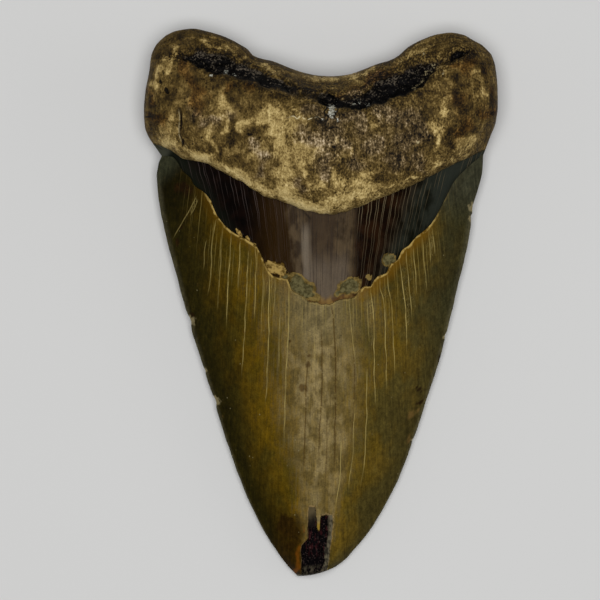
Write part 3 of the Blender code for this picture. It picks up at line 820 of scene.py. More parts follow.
outline = root_outline()
front_away, front_along = to_path(front_x, front_y, *outline)
back_away, back_along = to_path(back_x, back_y, *outline)
mark("to_outline", abs(front_away), abs(back_away))
mark("along_outline", ROOT_OUTLINE_LENGTH * front_along, ROOT_OUTLINE_LENGTH * back_along)

mark("broken", broken)
end_depth = 1.0 + 0.5 * clouds(front_x, front_y, 1.0, 121)
mark("break_depth", np.where(section == "end", end_depth, broken_depth))
worn_edge = 0
for side, nick_y, length, depth in NICKS:
    nick_x = edge_across(np.array([nick_y]))[max(side, 0)][0]
    worn_edge = worn_edge + bump(front_x, front_y, nick_x - side * depth, nick_y, 0.5 * length + 0.5)
mark("worn_edge", worn_edge * (1 - on_root))
mark("chip", chip * (1 - on_root))
mark("chip_core", chip_core)
print("marks:", [item.name for item in mesh.attributes if item.domain == "POINT"])

# %% [markdown]
# The piece is one object with three materials, so each face needs the number of its own. The row that a
# face starts at decides it: rows of the crown are enamel, rows of the band are neck, and every face that
# touches the root is bone. Edges sharper than 60 degrees stay sharp, and all others are shaded smoothly.

# %% The piece
SHARP_ANGLE = 60
ENAMEL, NECK, BONE = range(3)
face_kind = {"end": ENAMEL, "crown": ENAMEL, "band": NECK, "root": BONE}
kind_of_row = np.array([face_kind[name] for name in section[:, 0]])
front_kind = np.where(section[1:, 0] == "root", BONE, kind_of_row[:-1])
back_kind = kind_of_row[:-2:2]
kinds = np.concatenate([np.repeat(front_kind, columns - 1), np.repeat(back_kind, (columns - 1) // 2)])
mesh.polygons.foreach_set("material_index", kinds.astype(np.int32))
mesh.shade_smooth()
mesh.set_sharp_from_angle(angle=np.radians(SHARP_ANGLE))
tooth = bpy.data.objects.new("tooth_surface", mesh)
bpy.context.scene.collection.objects.link(tooth)
print("box in millimetres:", places.min(0).round(2), places.max(0).round(2))

# %% [markdown]
# Enamel shrinks as it dries and opens fine cracks from the band towards the tip. Pale silt fills most of
# them, and those along the crest stay brown. Each is a short list of points for a smooth line, with the
# strength at which it shows.

# %% The lines of the cracks
PALE_CRACKS = [
    (0.6, [(-26.2, 20.6), (-27.2, 13.6), (-27.5, 5.8), (-28.4, 0.8)]),
    (0.4, [(-28.6, 15.5), (-29.1, 12), (-29.3, 8)]),
    (0.5, [(-24.4, 18.6), (-24.9, 12.6), (-25.3, 4.5), (-25.9, -3)]),
    (1, [(-22.3, 17.1), (-22.6, 12), (-23, 6.7), (-23.3, 0.2), (-23.6, -6.8)]),
    (0.8, [(-20.1, 15.2), (-20.2, 10.9), (-20.5, 6.7), (-20.8, 2.9)]),
    (0.8, [(-18, 12.5), (-18.3, 6.7), (-18.6, 1.3), (-19, -7), (-19.9, -19.2)]),
    (0.7, [(-16.3, 13.6), (-16, 9.8), (-16.3, 5.6), (-16.4, 0.2), (-16.5, -5.2)]),
    (0.4, [(-14.3, 9.8), (-14.4, 4), (-14.7, -3), (-15.1, -9)]),
    (1, [(-12.8, 6.9), (-12.9, 1.5), (-13, -3.8), (-13.1, -11.8), (-13.9, -26.8)]),
    (0.4, [(-11.4, 5.8), (-11.5, 2.1), (-11.6, -2.5)]),
    (0.5, [(-10.2, -3.2), (-10.4, -10.5), (-10.4, -16.8)]),
    (0.9, [(-8.1, 5.8), (-8, 1.3), (-8.1, -6.8), (-8.9, -23), (-9.2, -36.8)]),
    (0.5, [(7, 1), (7.3, -3.8), (8.3, -13), (8.3, -16.8)]),
    (0.7, [(8.2, -24), (8.1, -36.8), (7, -44.5), (6.9, -47.8)]),
    (0.7, [(5.1, -34.2), (4.6, -44.8), (3.9, -48.9), (3.3, -52.8)]),
    (0.5, [(11.5, 0.4), (11.7, -5.2), (12.2, -10.2)]),
    (0.7, [(11.6, -16.8), (11.1, -36.8), (9.8, -46.8)]),
    (1, [(12.5, 2.4), (12.9, -1.6), (13.3, -8.7), (13.2, -13), (13.9, -26.8)]),
    (0.9, [(14.6, 5.8), (14.7, 3.8), (15.5, 1.3), (15.9, -3), (16.2, -13), (16.6, -23)]),
    (0.7, [(16.5, 7.3), (16.7, 4.4), (17.5, 0.4), (17.9, -5.8), (18.6, -19.2)]),
    (1, [(19.6, 11), (20, 7.6), (20.6, 3), (21.2, -3), (21.5, -13)]),
    (0.8, [(21.2, 13), (21.5, 9.3), (22, 4.8), (22.7, -4.2)]),
    (0.8, [(22.9, 14.1), (23.6, 8.2), (24, 1.8)]),
    (0.6, [(25.2, 16.4), (25.9, 9.8), (26.7, 2.4)]),
    (0.6, [(26.6, 18.4), (27.5, 11), (27.7, 8.8)]),
    (0.6, [(27.6, 18.8), (28.2, 14.8), (28.7, 11.6)]),
    (0.5, [(-31.2, 26.4), (-32.6, 23.6), (-34.6, 20.2), (-37.2, 15.8)]),
    (0.4, [(-30.8, 25.6), (-31.6, 23.6), (-32.6, 21.8)]),
    (0.5, [(-1.6, -5.8), (-1.5, -10), (-1.4, -16)]),
    (1, [(-8.2, 45.8), (-6.8, 46.1), (-5.8, 45.4), (-5.2, 46.1), (-3.5, 45.2), (-2.1, 45.6), (1, 46.1)]),
    (0.35, [(-35.3, 47.8), (-35, 45.8), (-35.2, 42.4), (-34.3, 39.3)]),
]
DARK_CRACKS = [
    (0.9, [(-3.3, -14.5), (-3.7, -20), (-3.8, -28), (-4.1, -36), (-4.3, -44)]),
    (0.9, [(0.1, -6.8), (0.2, -20), (-0.4, -34.2), (-0.6, -41)]),
    (1, [(2.6, -0.2), (3.2, -5.2), (3.6, -20), (3.5, -36.8), (2.9, -46)]),
    (0.6, [(1.6, -28), (1.5, -38), (0.9, -46)]),
    (0.8, [(8, -12), (8.3, -18), (8.1, -28), (7.6, -36)]),
    (0.5, [(-13.1, -11.8), (-13.4, -17)]), (0.5, [(16, -12), (16.4, -19)]),
    (1, [(-9.2, 7.8), (-7.4, 7.5), (-5.9, 6.5), (-4.4, 5.2), (-3.9, 3.8), (-4.4, 2.8)]),
    (0.9, [(-20.8, 17.1), (-18.9, 14.7)]), (0.8, [(-4.1, 22.5), (-2.2, 20.6)]),
    (1, [(-1.9, 45.5), (-0.3, 44.4), (0.9, 44.1), (1.9, 43), (3.5, 43.4), (5.2, 42.2)]),
    (1.1, [(0.8, 50), (1.4, 48.4), (0.6, 47.1), (1.7, 45.8), (1.2, 44.4), (1.9, 43.1)]),
    (1, [(3.6, 49.4), (4.1, 47.8), (3.1, 46.3), (4, 45), (3.2, 43.5)]),
    (1, [(-1.4, 46.2), (0, 45), (0.7, 43.8)]), (0.9, [(2.8, 49.3), (5.8, 48.8), (9.4, 49.2)]),
    (0.9, [(-7.8, 52.9), (-4.4, 53.1), (-1.2, 52.6), (0.4, 52)]),
    (0.8, [(-43.8, 46.4), (-41.4, 46.4)]), (0.8, [(-41.9, 40), (-40.7, 39), (-39.4, 38.2)]),
    (0.7, [(-34.7, 47.8), (-34.6, 45.2), (-34.8, 42.5), (-34, 39), (-32.9, 38)]),
    (0.8, [(22.4, 44.4), (24.1, 43.4)]), (0.8, [(42.4, 46.5), (43.8, 47.8)]),
]
print("pale cracks:", len(PALE_CRACKS), "dark cracks:", len(DARK_CRACKS))

# %% [markdown]
# A point of the mesh keeps its distance to the nearest crack, with a plus on the line's left and a minus
# on its right, because such a distance passes evenly through zero on the line. Midway between two lines
# it jumps from one sign to the other, so a second number says how strongly a line shows, and is zero
# there. Each line wavers a little, by noise.

# %% Distances to the cracks
LINE_REACH = 0.75
LINE_WAVER = 0.12
FAR = 9.0


def nearest_line(x, y, cracks, seed):
    """The signed distance to the nearest of several lines, and how strongly it shows: its own strength,
    less towards its two ends, and fading to nothing at the reach beside it."""
    x = x + LINE_WAVER * layered(x / 4, y, 3.5, seed)
    away, shows = np.full(x.shape, FAR), np.zeros(x.shape)
    for strength, points in cracks:
        path = smooth_path(points, np.linspace(0, 1, 5 * len(points)))
        from_line, share = to_path(x, y, *path)
        closer = np.abs(from_line) < np.abs(away)
        taper = smooth_step(8 * share + 0.4) * smooth_step(4 * (1 - share))
        beside = smooth_step(2 - 2 * np.abs(from_line) / LINE_REACH)
        away = np.where(closer, from_line, away)
        shows = np.where(closer, strength * taper * beside, shows)
    return away, shows


for name, cracks, seed in (("pale_crack", PALE_CRACKS, 91), ("dark_crack", DARK_CRACKS, 95)):
    away, shows = nearest_line(front_x, front_y, cracks, seed)
    mark(name, away, FAR)
    mark(name + "_shows", shows)
    print(name, "points of the mesh beside the lines:", int((shows > 0).sum()))

# %% [markdown]
# Ground water stained the tooth while it lay buried. The bone took up pale, buff, grey, dark and red
# patches, and the enamel amber, orange and rust-brown ones; the rust-brown patches left of the broken tip
# are partly painted shadow. No formula could find their places, so they are listed for each kind: round
# patches first, then streaks along a path, then crystals and spots.

# %% Places of the stains
# Patches as X, Y and radius, for each kind.
STAINS = {
    "pale": [
        (-24.6, 50, 2.9), (-22.8, 48.6, 1.4), (-32.5, 50.3, 1.5), (-19.8, 42.4, 1.6), (-18.5, 44, 1.5),
        (-16.7, 44.8, 1.5), (-14.9, 45.4, 1.5), (-12.2, 47.6, 1.7), (-12.2, 43.6, 2.2), (-9.7, 42.1, 2.6),
        (-8.6, 39.8, 2.4), (-24, 44.8, 1.2), (-24.3, 42.2, 1), (-27.3, 40.2, 1.1), (-26.6, 38.2, 1),
        (-9.7, 37, 2.6), (-10.2, 33.2, 2.8), (-5.4, 34.6, 2), (-8.4, 28.6, 2.8), (-1.6, 37.3, 1.6),
        (-4.6, 33, 1.4), (-0.7, 29.4, 1.4), (-16.9, 36.4, 1.6), (-19.2, 31.8, 2.2), (-16, 29.6, 2),
        (-30.5, 36.4, 1.6), (-36.6, 40, 2.4), (-39.6, 41.4, 2), (-6.1, 26.6, 2.4), (-3, 25.2, 2.4),
        (1.5, 24.2, 2.6), (5.2, 25.2, 2.4), (8.6, 26.4, 2.4), (11.8, 27.2, 2.2), (10.6, 30.2, 2.6),
        (12.4, 32, 2), (8, 29, 2), (3.1, 34.6, 1.3), (3.4, 40.2, 1.3), (14, 44.9, 1.2), (29.4, 34.4, 1),
        (33.2, 36, 1), (36.8, 37.8, 1.4), (29.2, 47.2, 1.6), (29, 43.4, 1.6), (29.4, 39.8, 1.5),
        (39.1, 56.2, 1.7), (39.9, 53.2, 1.8), (40.5, 51.2, 1.2), (-39.4, 57.8, 1.5), (-38.4, 60.8, 1.4),
        (-40.6, 55, 1.2), (-37, 48.8, 1.3), (-28.4, 66, 1.5), (-24, 63.2, 1.3), (-1, 55.2, 1.6),
        (3, 55.4, 1.8), (8, 56, 1.5), (22.4, 62.8, 1.5), (-42, 52.4, 1.2),
    ],
    "buff": [
        (-10.4, 45.6, 4.6), (-5.6, 44.2, 3.4), (-2.2, 38.6, 4.2), (-6, 36.4, 4.6), (-14.4, 38.6, 4),
        (-26, 46, 3.2), (4.4, 29.4, 4), (-1.6, 30.6, 3.2), (13.8, 29.6, 3.2), (-22.4, 38, 2.8),
        (5.6, 37, 3.2), (-38, 43, 4), (29.6, 42, 3.4), (36, 40, 3),
    ],
    "grey": [
        (-14.6, 32.4, 2.8), (-13.4, 36.6, 2.6), (-16.2, 39.4, 2.4), (-6.4, 30.4, 2.2), (-3.7, 47.4, 2.4),
        (-0.8, 48.4, 2.2), (2.2, 41.2, 3.4), (5.6, 39.6, 3.4), (-3.9, 28.8, 1.8), (-4.2, 41.4, 2.6),
        (-22.6, 46.6, 2.6), (-27.6, 44.8, 2.8), (-31.4, 47.6, 2.2), (15.5, 48.6, 2.8), (18, 46, 3.4),
        (22.4, 46.4, 3.6), (25, 41.8, 3.6), (20.4, 40.2, 3.6), (18, 35, 3.8), (23.6, 35, 3.2),
        (12.6, 38.6, 3.6), (8.4, 34.2, 2.8), (10, 44, 3.4), (6, 46, 2.6), (-7.6, 52, 1.8), (1, 31.8, 2.2),
        (14.6, 41, 3), (1.6, 35, 3.6), (-1.4, 39.6, 2.8), (1.6, 44.8, 3.6),
    ],
    "dark": [
        (-17.3, 41.8, 1.7), (-15.2, 41.4, 1.3), (-21.9, 42.4, 1.8), (-22.2, 40.2, 1.6), (-29.4, 42.1, 1.8),
        (-30.4, 46, 1.4), (-21.6, 49.7, 1.8), (-24.6, 38, 2.6), (-21.6, 36.4, 2.6), (-3.2, 43.2, 1.6),
        (-4.4, 43.6, 1.2), (19.8, 44, 1.8), (22.6, 42, 1.6), (18.6, 37, 2), (17.4, 33.6, 2.2),
        (21, 33.4, 1.8), (15, 31.4, 1.6), (24.4, 37.4, 2), (21.8, 47.2, 1.6), (26, 45.6, 1.6),
        (-31, 55, 3.6), (-25.4, 55.2, 3.4), (-19.6, 53, 3.2), (-14.6, 51, 2.4), (34, 52, 2.4),
        (35.6, 48, 2.4), (33.6, 41.6, 3), (37.8, 43.4, 2), (-41.6, 46.6, 1.6), (-42.6, 49.6, 1.4),
        (-38.6, 50.4, 1.6), (-34.6, 65.4, 2.4), (-29.6, 62.8, 2), (-40.2, 62.6, 1.8), (37.6, 60.6, 2.2),
        (28.8, 64.8, 2.2), (-37.8, 55.2, 0.9), (5.4, 36.6, 1.2), (3.2, 38.4, 0.8), (-0.4, 44.6, 1.8),
        (2.6, 44, 1.8), (4, 47.4, 1.8), (0.2, 47.6, 1.2),
    ],
    "red": [
        (-33.7, 59.4, 2.6), (-33, 55.8, 3.2), (-30, 53, 2.4), (-17.3, 52.4, 2), (-22.5, 53, 2.2),
        (-42.9, 50.8, 1.6), (-42.8, 53.2, 1.4), (42.4, 47.6, 1.8), (42.8, 50.6, 1.8), (42.6, 53.8, 1.8),
        (40.8, 47, 1.8), (33.3, 58.5, 1.4), (36, 57, 2.4), (38.8, 46.7, 0.7), (41.2, 57.4, 1.6),
        (-41.6, 46.4, 1.2), (14, 55, 2.4), (34, 50, 3.4), (35, 44, 3.4), (-31, 50, 3), (-40.6, 45, 2.6),
        (37.4, 59.6, 2.6),
    ],
    "amber": [
        (-28.6, 24.4, 2.4), (-28, 20.6, 3), (-27, 16.6, 3.2), (-24.4, 12, 3.6), (-23.6, 5, 3.4),
        (-16.2, -14, 1.8), (-16, -17.4, 1.8), (11, -15, 2.4), (10.6, -20, 2.4), (10.8, -26, 2.6),
        (13.4, -36, 3.2), (11.6, -44, 3.2), (-13.2, -34, 3.2), (-9.4, -46, 3.4), (-10.6, -56, 2.4),
        (-15.6, -26, 2.6), (17, 4.6, 2), (19.8, 7.6, 2.2), (12.2, 1.8, 2), (9.6, 0.6, 1.8), (23, 12.6, 2),
        (-21.6, 0, 3), (14.4, 3.4, 1.6), (6.4, -50, 2.8), (-5.4, -62.6, 1.8), (-5.3, -66.2, 1.8),
        (17.6, -10, 2.6), (-33, 24, 2.4),
    ],
    "orange": [
        (-5.6, -61.4, 1.1), (-5.8, -63.2, 1.3), (-6, -65, 1.4), (-5.9, -66.8, 1.3), (-3.8, -57, 0.5),
        (22.4, -33.9, 1.2), (24.4, -27.2, 0.9), (22, -28.4, 1.4),
    ],
    # rust; the patches left of the broken tip are partly painted shadow
    "rust": [
        (-34, 27.8, 3.2), (-33.4, -0.5, 0.9), (-32.8, -3.4, 1.3), (-36.6, 14.6, 1.4), (25.2, -24.6, 1),
        (25.6, -21, 1.2), (-27, -29, 0.8), (-22.6, -40, 0.9), (-18.6, -50.6, 0.9), (-8.8, -54.4, 2.2),
        (-8.6, -56.6, 2.4), (-8.2, -60.6, 2), (-6.4, -55.8, 1.6), (-6.4, -59, 1.6), (-35, 18.4, 1),
        (29, -15, 0.8),
    ],
}

# Streaks as a half width and the points of their path.
STREAKS = {
    "pale": [
        (0.9, [(29.8, 49), (29.4, 44), (29.4, 40.5), (29.8, 36)]),
        (1.4, [(-19.8, 42.4), (-18.5, 44), (-14.9, 45.2), (-12.2, 47.6)]),
        (2.3, [(-12.2, 44.6), (-9.6, 42), (-9, 39), (-9.8, 35), (-9.4, 31), (-8.4, 27)]),
        (1.3, [(-41.6, 41), (-36.5, 39), (-32, 37), (-27, 35.3), (-20.4, 32.2)]),
        (1.6, [(-20, 31.6), (-15, 28.8), (-9, 26.6), (-3, 24.7), (1.5, 23.8), (6.8, 24.8), (12.3, 26.8)]),
        (0.4, [(12.3, 26), (19.8, 29.2), (27.3, 32.8), (34.8, 36.4), (39.6, 38.8)]),
        (1, [(-36.8, 63), (-38.8, 59), (-40.4, 55), (-40.4, 51)]),
        (0.9, [(-27.6, 42.6), (-27.4, 40), (-26.4, 38)]), (0.9, [(-24.2, 48), (-23.8, 45), (-24.6, 41.5)]),
        (0.8, [(-30, 65.6), (-24, 63.2), (-18, 60), (-10, 57.4)]),
        (0.8, [(-4, 55.6), (2, 54.9), (8, 56), (14, 58.2)]),
        (0.8, [(18, 59.8), (23, 62.6), (29, 65.4)]),
    ],
    "dark": [
        (1.2, [(-8.6, 53.2), (-4, 53), (-0.4, 52.2)]), (1, [(4, 50.6), (6.6, 50), (9, 50.2)]),
        (1.3, [(-36, 57.6), (-37.2, 54), (-37.6, 50.4)]),
        (1.6, [(-20.8, 54.6), (-14, 52.4), (-9.4, 50.6)]),
        (1.8, [(24.6, 50.6), (25.8, 44), (25.8, 38)]), (1.6, [(33.4, 56), (33.8, 48), (33.4, 41)]),
        (1.6, [(38.4, 60.8), (41.6, 56.6), (42.6, 51)]),
    ],
    "red": [(1.4, [(4.6, 52.2), (9, 53.4), (13.4, 56), (18, 58.8)])],
    "grey": [
        (1.8, [(4, 51.2), (7.4, 51.4), (11, 53.6), (15, 56.6)]), (2.2, [(-1, 46.6), (4, 45.6), (9, 46)]),
    ],
}
# Pale crystals and crumbs in the fissure and under the hole in the middle: X, Y and radius.
CRYSTALS = [
    (28, 58.7, 1.5), (26.4, 57.2, 1.2), (25.2, 55.3, 1.1), (23.1, 53.4, 0.9), (30.4, 57, 0.9),
    (24.2, 54.2, 0.7), (9.7, 49.9, 1), (11.6, 49.2, 1.1), (8, 49.3, 0.7), (2.4, 48.7, 1.5),
    (2.8, 47.4, 1.4), (2.5, 46.2, 1.3), (4.2, 45.2, 0.9), (0.4, 45.3, 0.8), (-23.6, 57.4, 1),
    (-21.4, 56.6, 0.8), (-27.4, 56.4, 0.8), (17.9, 35.2, 0.5), (24, 34.9, 0.5), (24, 39.7, 0.6),
    (19.4, 46, 0.7), (25.4, 61.8, 0.9),
]
# Small brown spots on the enamel: X, Y and radius.
SPOTS = [
    (-4.4, -21.1, 1.7), (-3.2, -15.3, 1.1), (-2.9, -13.2, 0.8), (-19, -7, 0.7), (-7.8, -9.4, 0.7),
    (16.6, -15.2, 0.6),
]

print("patches:", sum(map(len, STAINS.values())), "streaks:", sum(map(len, STREAKS.values())))

# %% [markdown]
# Each patch is a soft bump at its place, and each streak a soft band along its path. They are laid out on
# warped coordinates, so that none is quite round or straight. The finishes add noise to the sum and cut
# it at a level, which gives an irregular edge at every size.

# %% Stains on the mesh
warped_x = front_x + 1.3 * layered(front_x, front_y, 3.4, 101, 4)
warped_y = front_y + 1.3 * layered(front_x, front_y, 3.4, 105, 4)
uneven = 0.75 + 0.6 * layered(front_x, front_y, 2.8, 111)
for name, patches in STAINS.items():
    stain = sum(bump(warped_x, warped_y, *patch) for patch in patches)
    for half_width, points in STREAKS.get(name, []):
        away, _ = to_path(warped_x, warped_y, *smooth_path(points, np.linspace(0, 1, 4 * len(points))))
        stain = stain + uneven * np.exp(-2 * (away / half_width) ** 2)
    mark(name, np.minimum(stain, 1.2))
    print(name, "covers this share of the front:", round((stain > 0.4).mean(), 3))
for name, dots in (("crystals", CRYSTALS), ("spots", SPOTS)):
    mark(name, np.minimum(sum(bump(front_x, front_y, *dot) for dot in dots), 1))
mark("slits", slits(front_x, front_y) * on_root)

# %% [markdown]
# A finish is a sum of many small terms, so the script writes it as one. A Wire stands for a node's output:
# adding or scaling wires adds Math nodes. A Finish is one material. It has one method for any node, and
# short ones for the patterns that enamel, neck and bone share, such as noise, cells and cracks.

# %% Wires and finishes
class Wire:
    """The output of a node, which can stand in a sum."""

    def __init__(self, finish, socket):
        self.finish, self.socket = finish, socket

    def __add__(self, other):
        return self.finish.math("ADD", self, other)

    def __sub__(self, other):
        return self.finish.math("SUBTRACT", self, other)

    def __rsub__(self, other):
        return self.finish.math("SUBTRACT", other, self)

    def __mul__(self, other):
        return self.finish.math("MULTIPLY", self, other)

    def __truediv__(self, other):
        return self.finish.math("DIVIDE", self, other)

    def __rtruediv__(self, other):
        return self.finish.math("DIVIDE", other, self)

    def __abs__(self):
        return self.finish.math("ABSOLUTE", self)

    __radd__, __rmul__ = __add__, __mul__


class Finish:
    """A material, and the nodes that are needed to write one as sums of wires."""

    def __init__(self, name, constants):
        self.material = bpy.data.materials.new(name)
        self.material.use_nodes = True
        self.tree = self.material.node_tree
        self.shader = self.tree.nodes["Principled BSDF"]
        for socket, value in constants.items():
            self.shader.inputs[socket].default_value = value
        metres = self.node("ShaderNodeTexCoord", output="Object")
        self.place = self.node("ShaderNodeVectorMath", {0: metres, "Scale": 1 / MM}, operation="SCALE")
        self.x, self.y, self.z = (
            self.node("ShaderNodeSeparateXYZ", {0: self.place}, axis) for axis in "XYZ"
        )
        self.colour = None

    def node(self, kind, inputs=(), output=0, **settings):
        """Any node: its settings first, then its inputs, each a wire or a value."""
        node = self.tree.nodes.new(kind)
        for name, value in settings.items():
            if name != "stops":
                setattr(node, name, value)
                continue
            for _ in value[2:]:
                node.color_ramp.elements.new(1)
            for element, (position, colour) in zip(node.color_ramp.elements, value):
                element.position, element.color = position, colour
        for key, value in dict(inputs).items():
            self.feed(node.inputs[key], value)
        return Wire(self, node.outputs[output])

    def feed(self, socket, value):
        """Links a wire to a socket, or sets its value."""
        if isinstance(value, Wire):
            self.tree.links.new(value.socket, socket)
        else:
            socket.default_value = value

    def math(self, operation, *values):
        """A Math node over wires or numbers."""
        return self.node("ShaderNodeMath", dict(enumerate(values)), operation=operation)

    def mark(self, name):
        """A number that is stored on the mesh under a name."""
        return self.node("ShaderNodeAttribute", output="Fac", attribute_name=name)

    def at(self, x, y, z=0.0):
        """A place in a pattern, from wires or numbers."""
        return self.node("ShaderNodeCombineXYZ", {0: x, 1: y, 2: z})

    def moved(self, place, size, shift):
        """A place divided by a size in millimetres, or by three sizes, and then shifted."""
        per_mm = tuple(1 / np.broadcast_to(np.array(size, float), 3))
        parts = {0: place or self.place, 1: per_mm, 2: shift}
        return self.node("ShaderNodeVectorMath", parts, operation="MULTIPLY_ADD")

    def noise(self, size, seed, detail=3, place=None):
        """Cloudy noise around 0 of a size in millimetres, or of three sizes along X, Y and Z."""
        vector = self.moved(place, size, (17.3 * seed, 5.9 * seed, 11.7 * seed))
        return self.node("ShaderNodeTexNoise", {"Vector": vector, "Scale": 1, "Detail": detail}) - 0.5

    def cells(self, size, seed, output="Distance"):
        """The distance to the nearest random point, in cells, or that point's random colour."""
        vector = self.moved(None, size, (7.1 * seed, 3.7 * seed, 9.3 * seed))
        return self.node("ShaderNodeTexVoronoi", {"Vector": vector, "Scale": 1}, output)

    def stripes(self, across, randomness):
        """The distance to the nearest random point on one axis, in cells."""
        values = {"W": across, "Scale": 1, "Randomness": randomness}
        return self.node("ShaderNodeTexVoronoi", values, voronoi_dimensions="1D")

    def line(self, name, half_width):
        """1 on the cracks of this name and 0 beside them."""
        on_line = soft(abs(self.mark(name)), 1.4 * half_width, 0.4 * half_width)
        return on_line * self.mark(name + "_shows")

    def paint(self, share, colour):
        """Lays a colour over the finish's colour so far."""
        self.colour = mix(share, self.colour, colour)

    def apply(self, roughness, height):
        """Feeds the shader: its colour, a roughness, and a bump from a height in millimetres."""
        bump_node = self.node("ShaderNodeBump", {"Height": height, "Distance": MM})
        for socket, wire in (("Base Color", self.colour), ("Roughness", roughness), ("Normal", bump_node)):
            self.feed(self.shader.inputs[socket], wire)
        mesh.materials.append(self.material)
        self.report()

    def report(self):
        """Prints how many nodes the material has."""
        print(self.material.name, "nodes:", len(self.tree.nodes))


print("a finish can:", [name for name in vars(Finish) if not name.startswith("_")])

# %% [markdown]
# Masks and colours need no method of a finish, because a wire knows the finish that it belongs to. Colours
# are named as they should look on a screen, from 0 to 255. The shader needs them linear, and divided by
# the brightness that this light gives a white surface.

# %% Masks and colours
WHITE_IN_THIS_LIGHT = 0.82


def soft(value, start, end):
    """0 at the start, 1 at the end and a soft S between. The start may be the larger one."""
    values = {"Value": value, "From Min": start, "From Max": end}
    return value.finish.node("ShaderNodeMapRange", values, interpolation_type="SMOOTHSTEP")


def tint(red, green, blue):
    """The base colour that looks like this screen colour here: made linear by the usual curve of
    screens, and divided by the light's white."""
    encoded = np.array([red, green, blue]) / 255
    linear = np.where(encoded <= 0.04045, encoded / 12.92, ((encoded + 0.055) / 1.055) ** 2.4)
    return (*np.minimum(linear / WHITE_IN_THIS_LIGHT, 0.9), 1)


def mix(share, low, high):
    """One colour blended into another. Each is a wire or a screen colour."""
    low, high = (value if isinstance(value, Wire) else tint(*value) for value in (low, high))
    return share.finish.node("ShaderNodeMix", {0: share, 6: low, 7: high}, 2, data_type="RGBA")


def ramp(value, stops):
    """A colour for each value, from (value, screen colour) stops."""
    stops = [(position, tint(*colour)) for position, colour in stops]
    return value.finish.node("ShaderNodeValToRGB", {0: value}, stops=stops)


def tinted(colour, factors):
    """A colour with its red, green and blue each made stronger or weaker."""
    return colour.finish.node("ShaderNodeVectorMath", {0: colour, 1: factors}, operation="MULTIPLY")


def shade(colour, factor):
    """A colour made brighter or darker."""
    return colour.finish.node("ShaderNodeVectorMath", {0: colour, "Scale": factor}, operation="SCALE")


print("base colour of a middle grey:", [round(float(v), 3) for v in tint(128, 128, 128)[:3]])

# %% [markdown]
# The enamel is a clear hard skin over brown dentine. It looks beige along the crest, partly its own colour
# and partly a painted sheen of the overhead light, and olive and amber on the flanks. Towards the cutting
# edges it carries painted shade on the left and a painted grey reflection on the right. Its fibres run
# from root to tip, so a long thin noise gives the silky streaks, in a coordinate that narrows with the
# crown.

# %% Enamel: fibres and ground colours
enamel = Finish("enamel", {"IOR": 1.5, "Specular IOR Level": 0.03})
aside = abs(enamel.mark("across"))
fan = enamel.x / (1 + 0.0033 * (10 - enamel.y))
fan_place = enamel.at(fan, enamel.y, enamel.z)
silk = enamel.noise((0.45, 12, 6), 1, place=fan_place)
fibres = enamel.noise((0.16, 3.5, 2), 2, 2, place=fan_place)
drifts = enamel.noise((7, 13, 9), 3)
patches = enamel.noise((2.6, 4.2, 3), 4)
grain = enamel.noise(0.35, 5, 2)
leather = enamel.noise((0.9, 1.3, 1), 15, 4)

on_right = soft(enamel.mark("across"), -0.4, 0.4)
golden = mix(on_right, (87, 66, 9), (88, 70, 20))
brownish = mix(on_right, (68, 55, 12), (70, 60, 24))
olive = mix(soft(drifts + 0.5 * patches, -0.12, 0.12), golden, brownish)
# painted sheen: the beige crest is partly the enamel's own paler colour and partly the overhead light's
# reflection on the top of the dome
crest = mix(soft(patches, -0.12, 0.12), (102, 86, 46), (126, 110, 72))
crest = mix(0.7 * soft(enamel.y, -13, -5), crest, (106, 94, 61))
toward_tip = soft(enamel.y, -30, -56)
feather = 0.4 * patches + 0.5 * drifts + 0.5 * silk + 0.3 * leather
off_crest = soft(aside + feather + 0.12 * toward_tip, 0.02, 0.54)
enamel.colour = mix(off_crest, crest, olive)
amber = soft(enamel.mark("amber") + 1.2 * patches, 0.2, 1.0)
enamel.paint(0.4 * amber, (88, 68, 6))
# painted shade and reflection: the outer flanks turn dark towards the left cutting edge, as shade, and
# grey towards the right one, as a reflection of the side light
right_edge_painted_reflection = mix(soft(enamel.y, -20, 5), (60, 52, 22), (52, 50, 28))
edge = mix(on_right, (34, 29, 5), right_edge_painted_reflection)
flank_painted_shade_and_reflection = soft(aside + 0.25 * drifts - 0.1 * on_right + 0.1 * toward_tip, 0.45, 0.95)
enamel.paint(flank_painted_shade_and_reflection, edge)
enamel.report()

# %% [markdown]
# Over the ground lie stains and some painted light and shade: the left half darker towards the band, a
# painted highlight along both cutting edges, a grey-green skin on both shoulders, rust, a brown patch
# beside the broken tip that is partly stain and partly painted shadow, and small brown spots.
# Each is laid over the colour so far through a mask with a noisy edge. Last, five noises of different
# sizes make the whole lighter and darker, by multiplying it.

# %% Enamel: stains, painted light and shade, and unevenness
enamel.colour = shade(enamel.colour, 1 - 0.55 * soft(enamel.y, 12, 30) * (1 - on_right))
enamel.colour = shade(enamel.colour, 1 - 0.25 * soft(enamel.y, -6, 6) * on_right * soft(aside, 0.3, 0.5))
# painted highlight: a pale line along both cutting edges
enamel.paint(0.5 * soft(aside, 0.955, 1.0), (84, 80, 60))
left_skin = soft(enamel.y - 0.7 * enamel.x + 3 * drifts, 56, 62) * soft(enamel.x, 0, -9)
right_skin = soft(enamel.y + 4 * patches, 19, 30) * soft(enamel.x + 2 * drifts, 27, 32)
enamel.paint(0.9 * left_skin, (48, 49, 34))
enamel.paint(0.85 * right_skin, (53, 53, 39))
# rust, which left of the broken tip is partly painted shadow
rust = soft(enamel.mark("rust") + 0.5 * patches, 0.2, 0.7)
enamel.paint(0.85 * rust, (30, 17, 4))
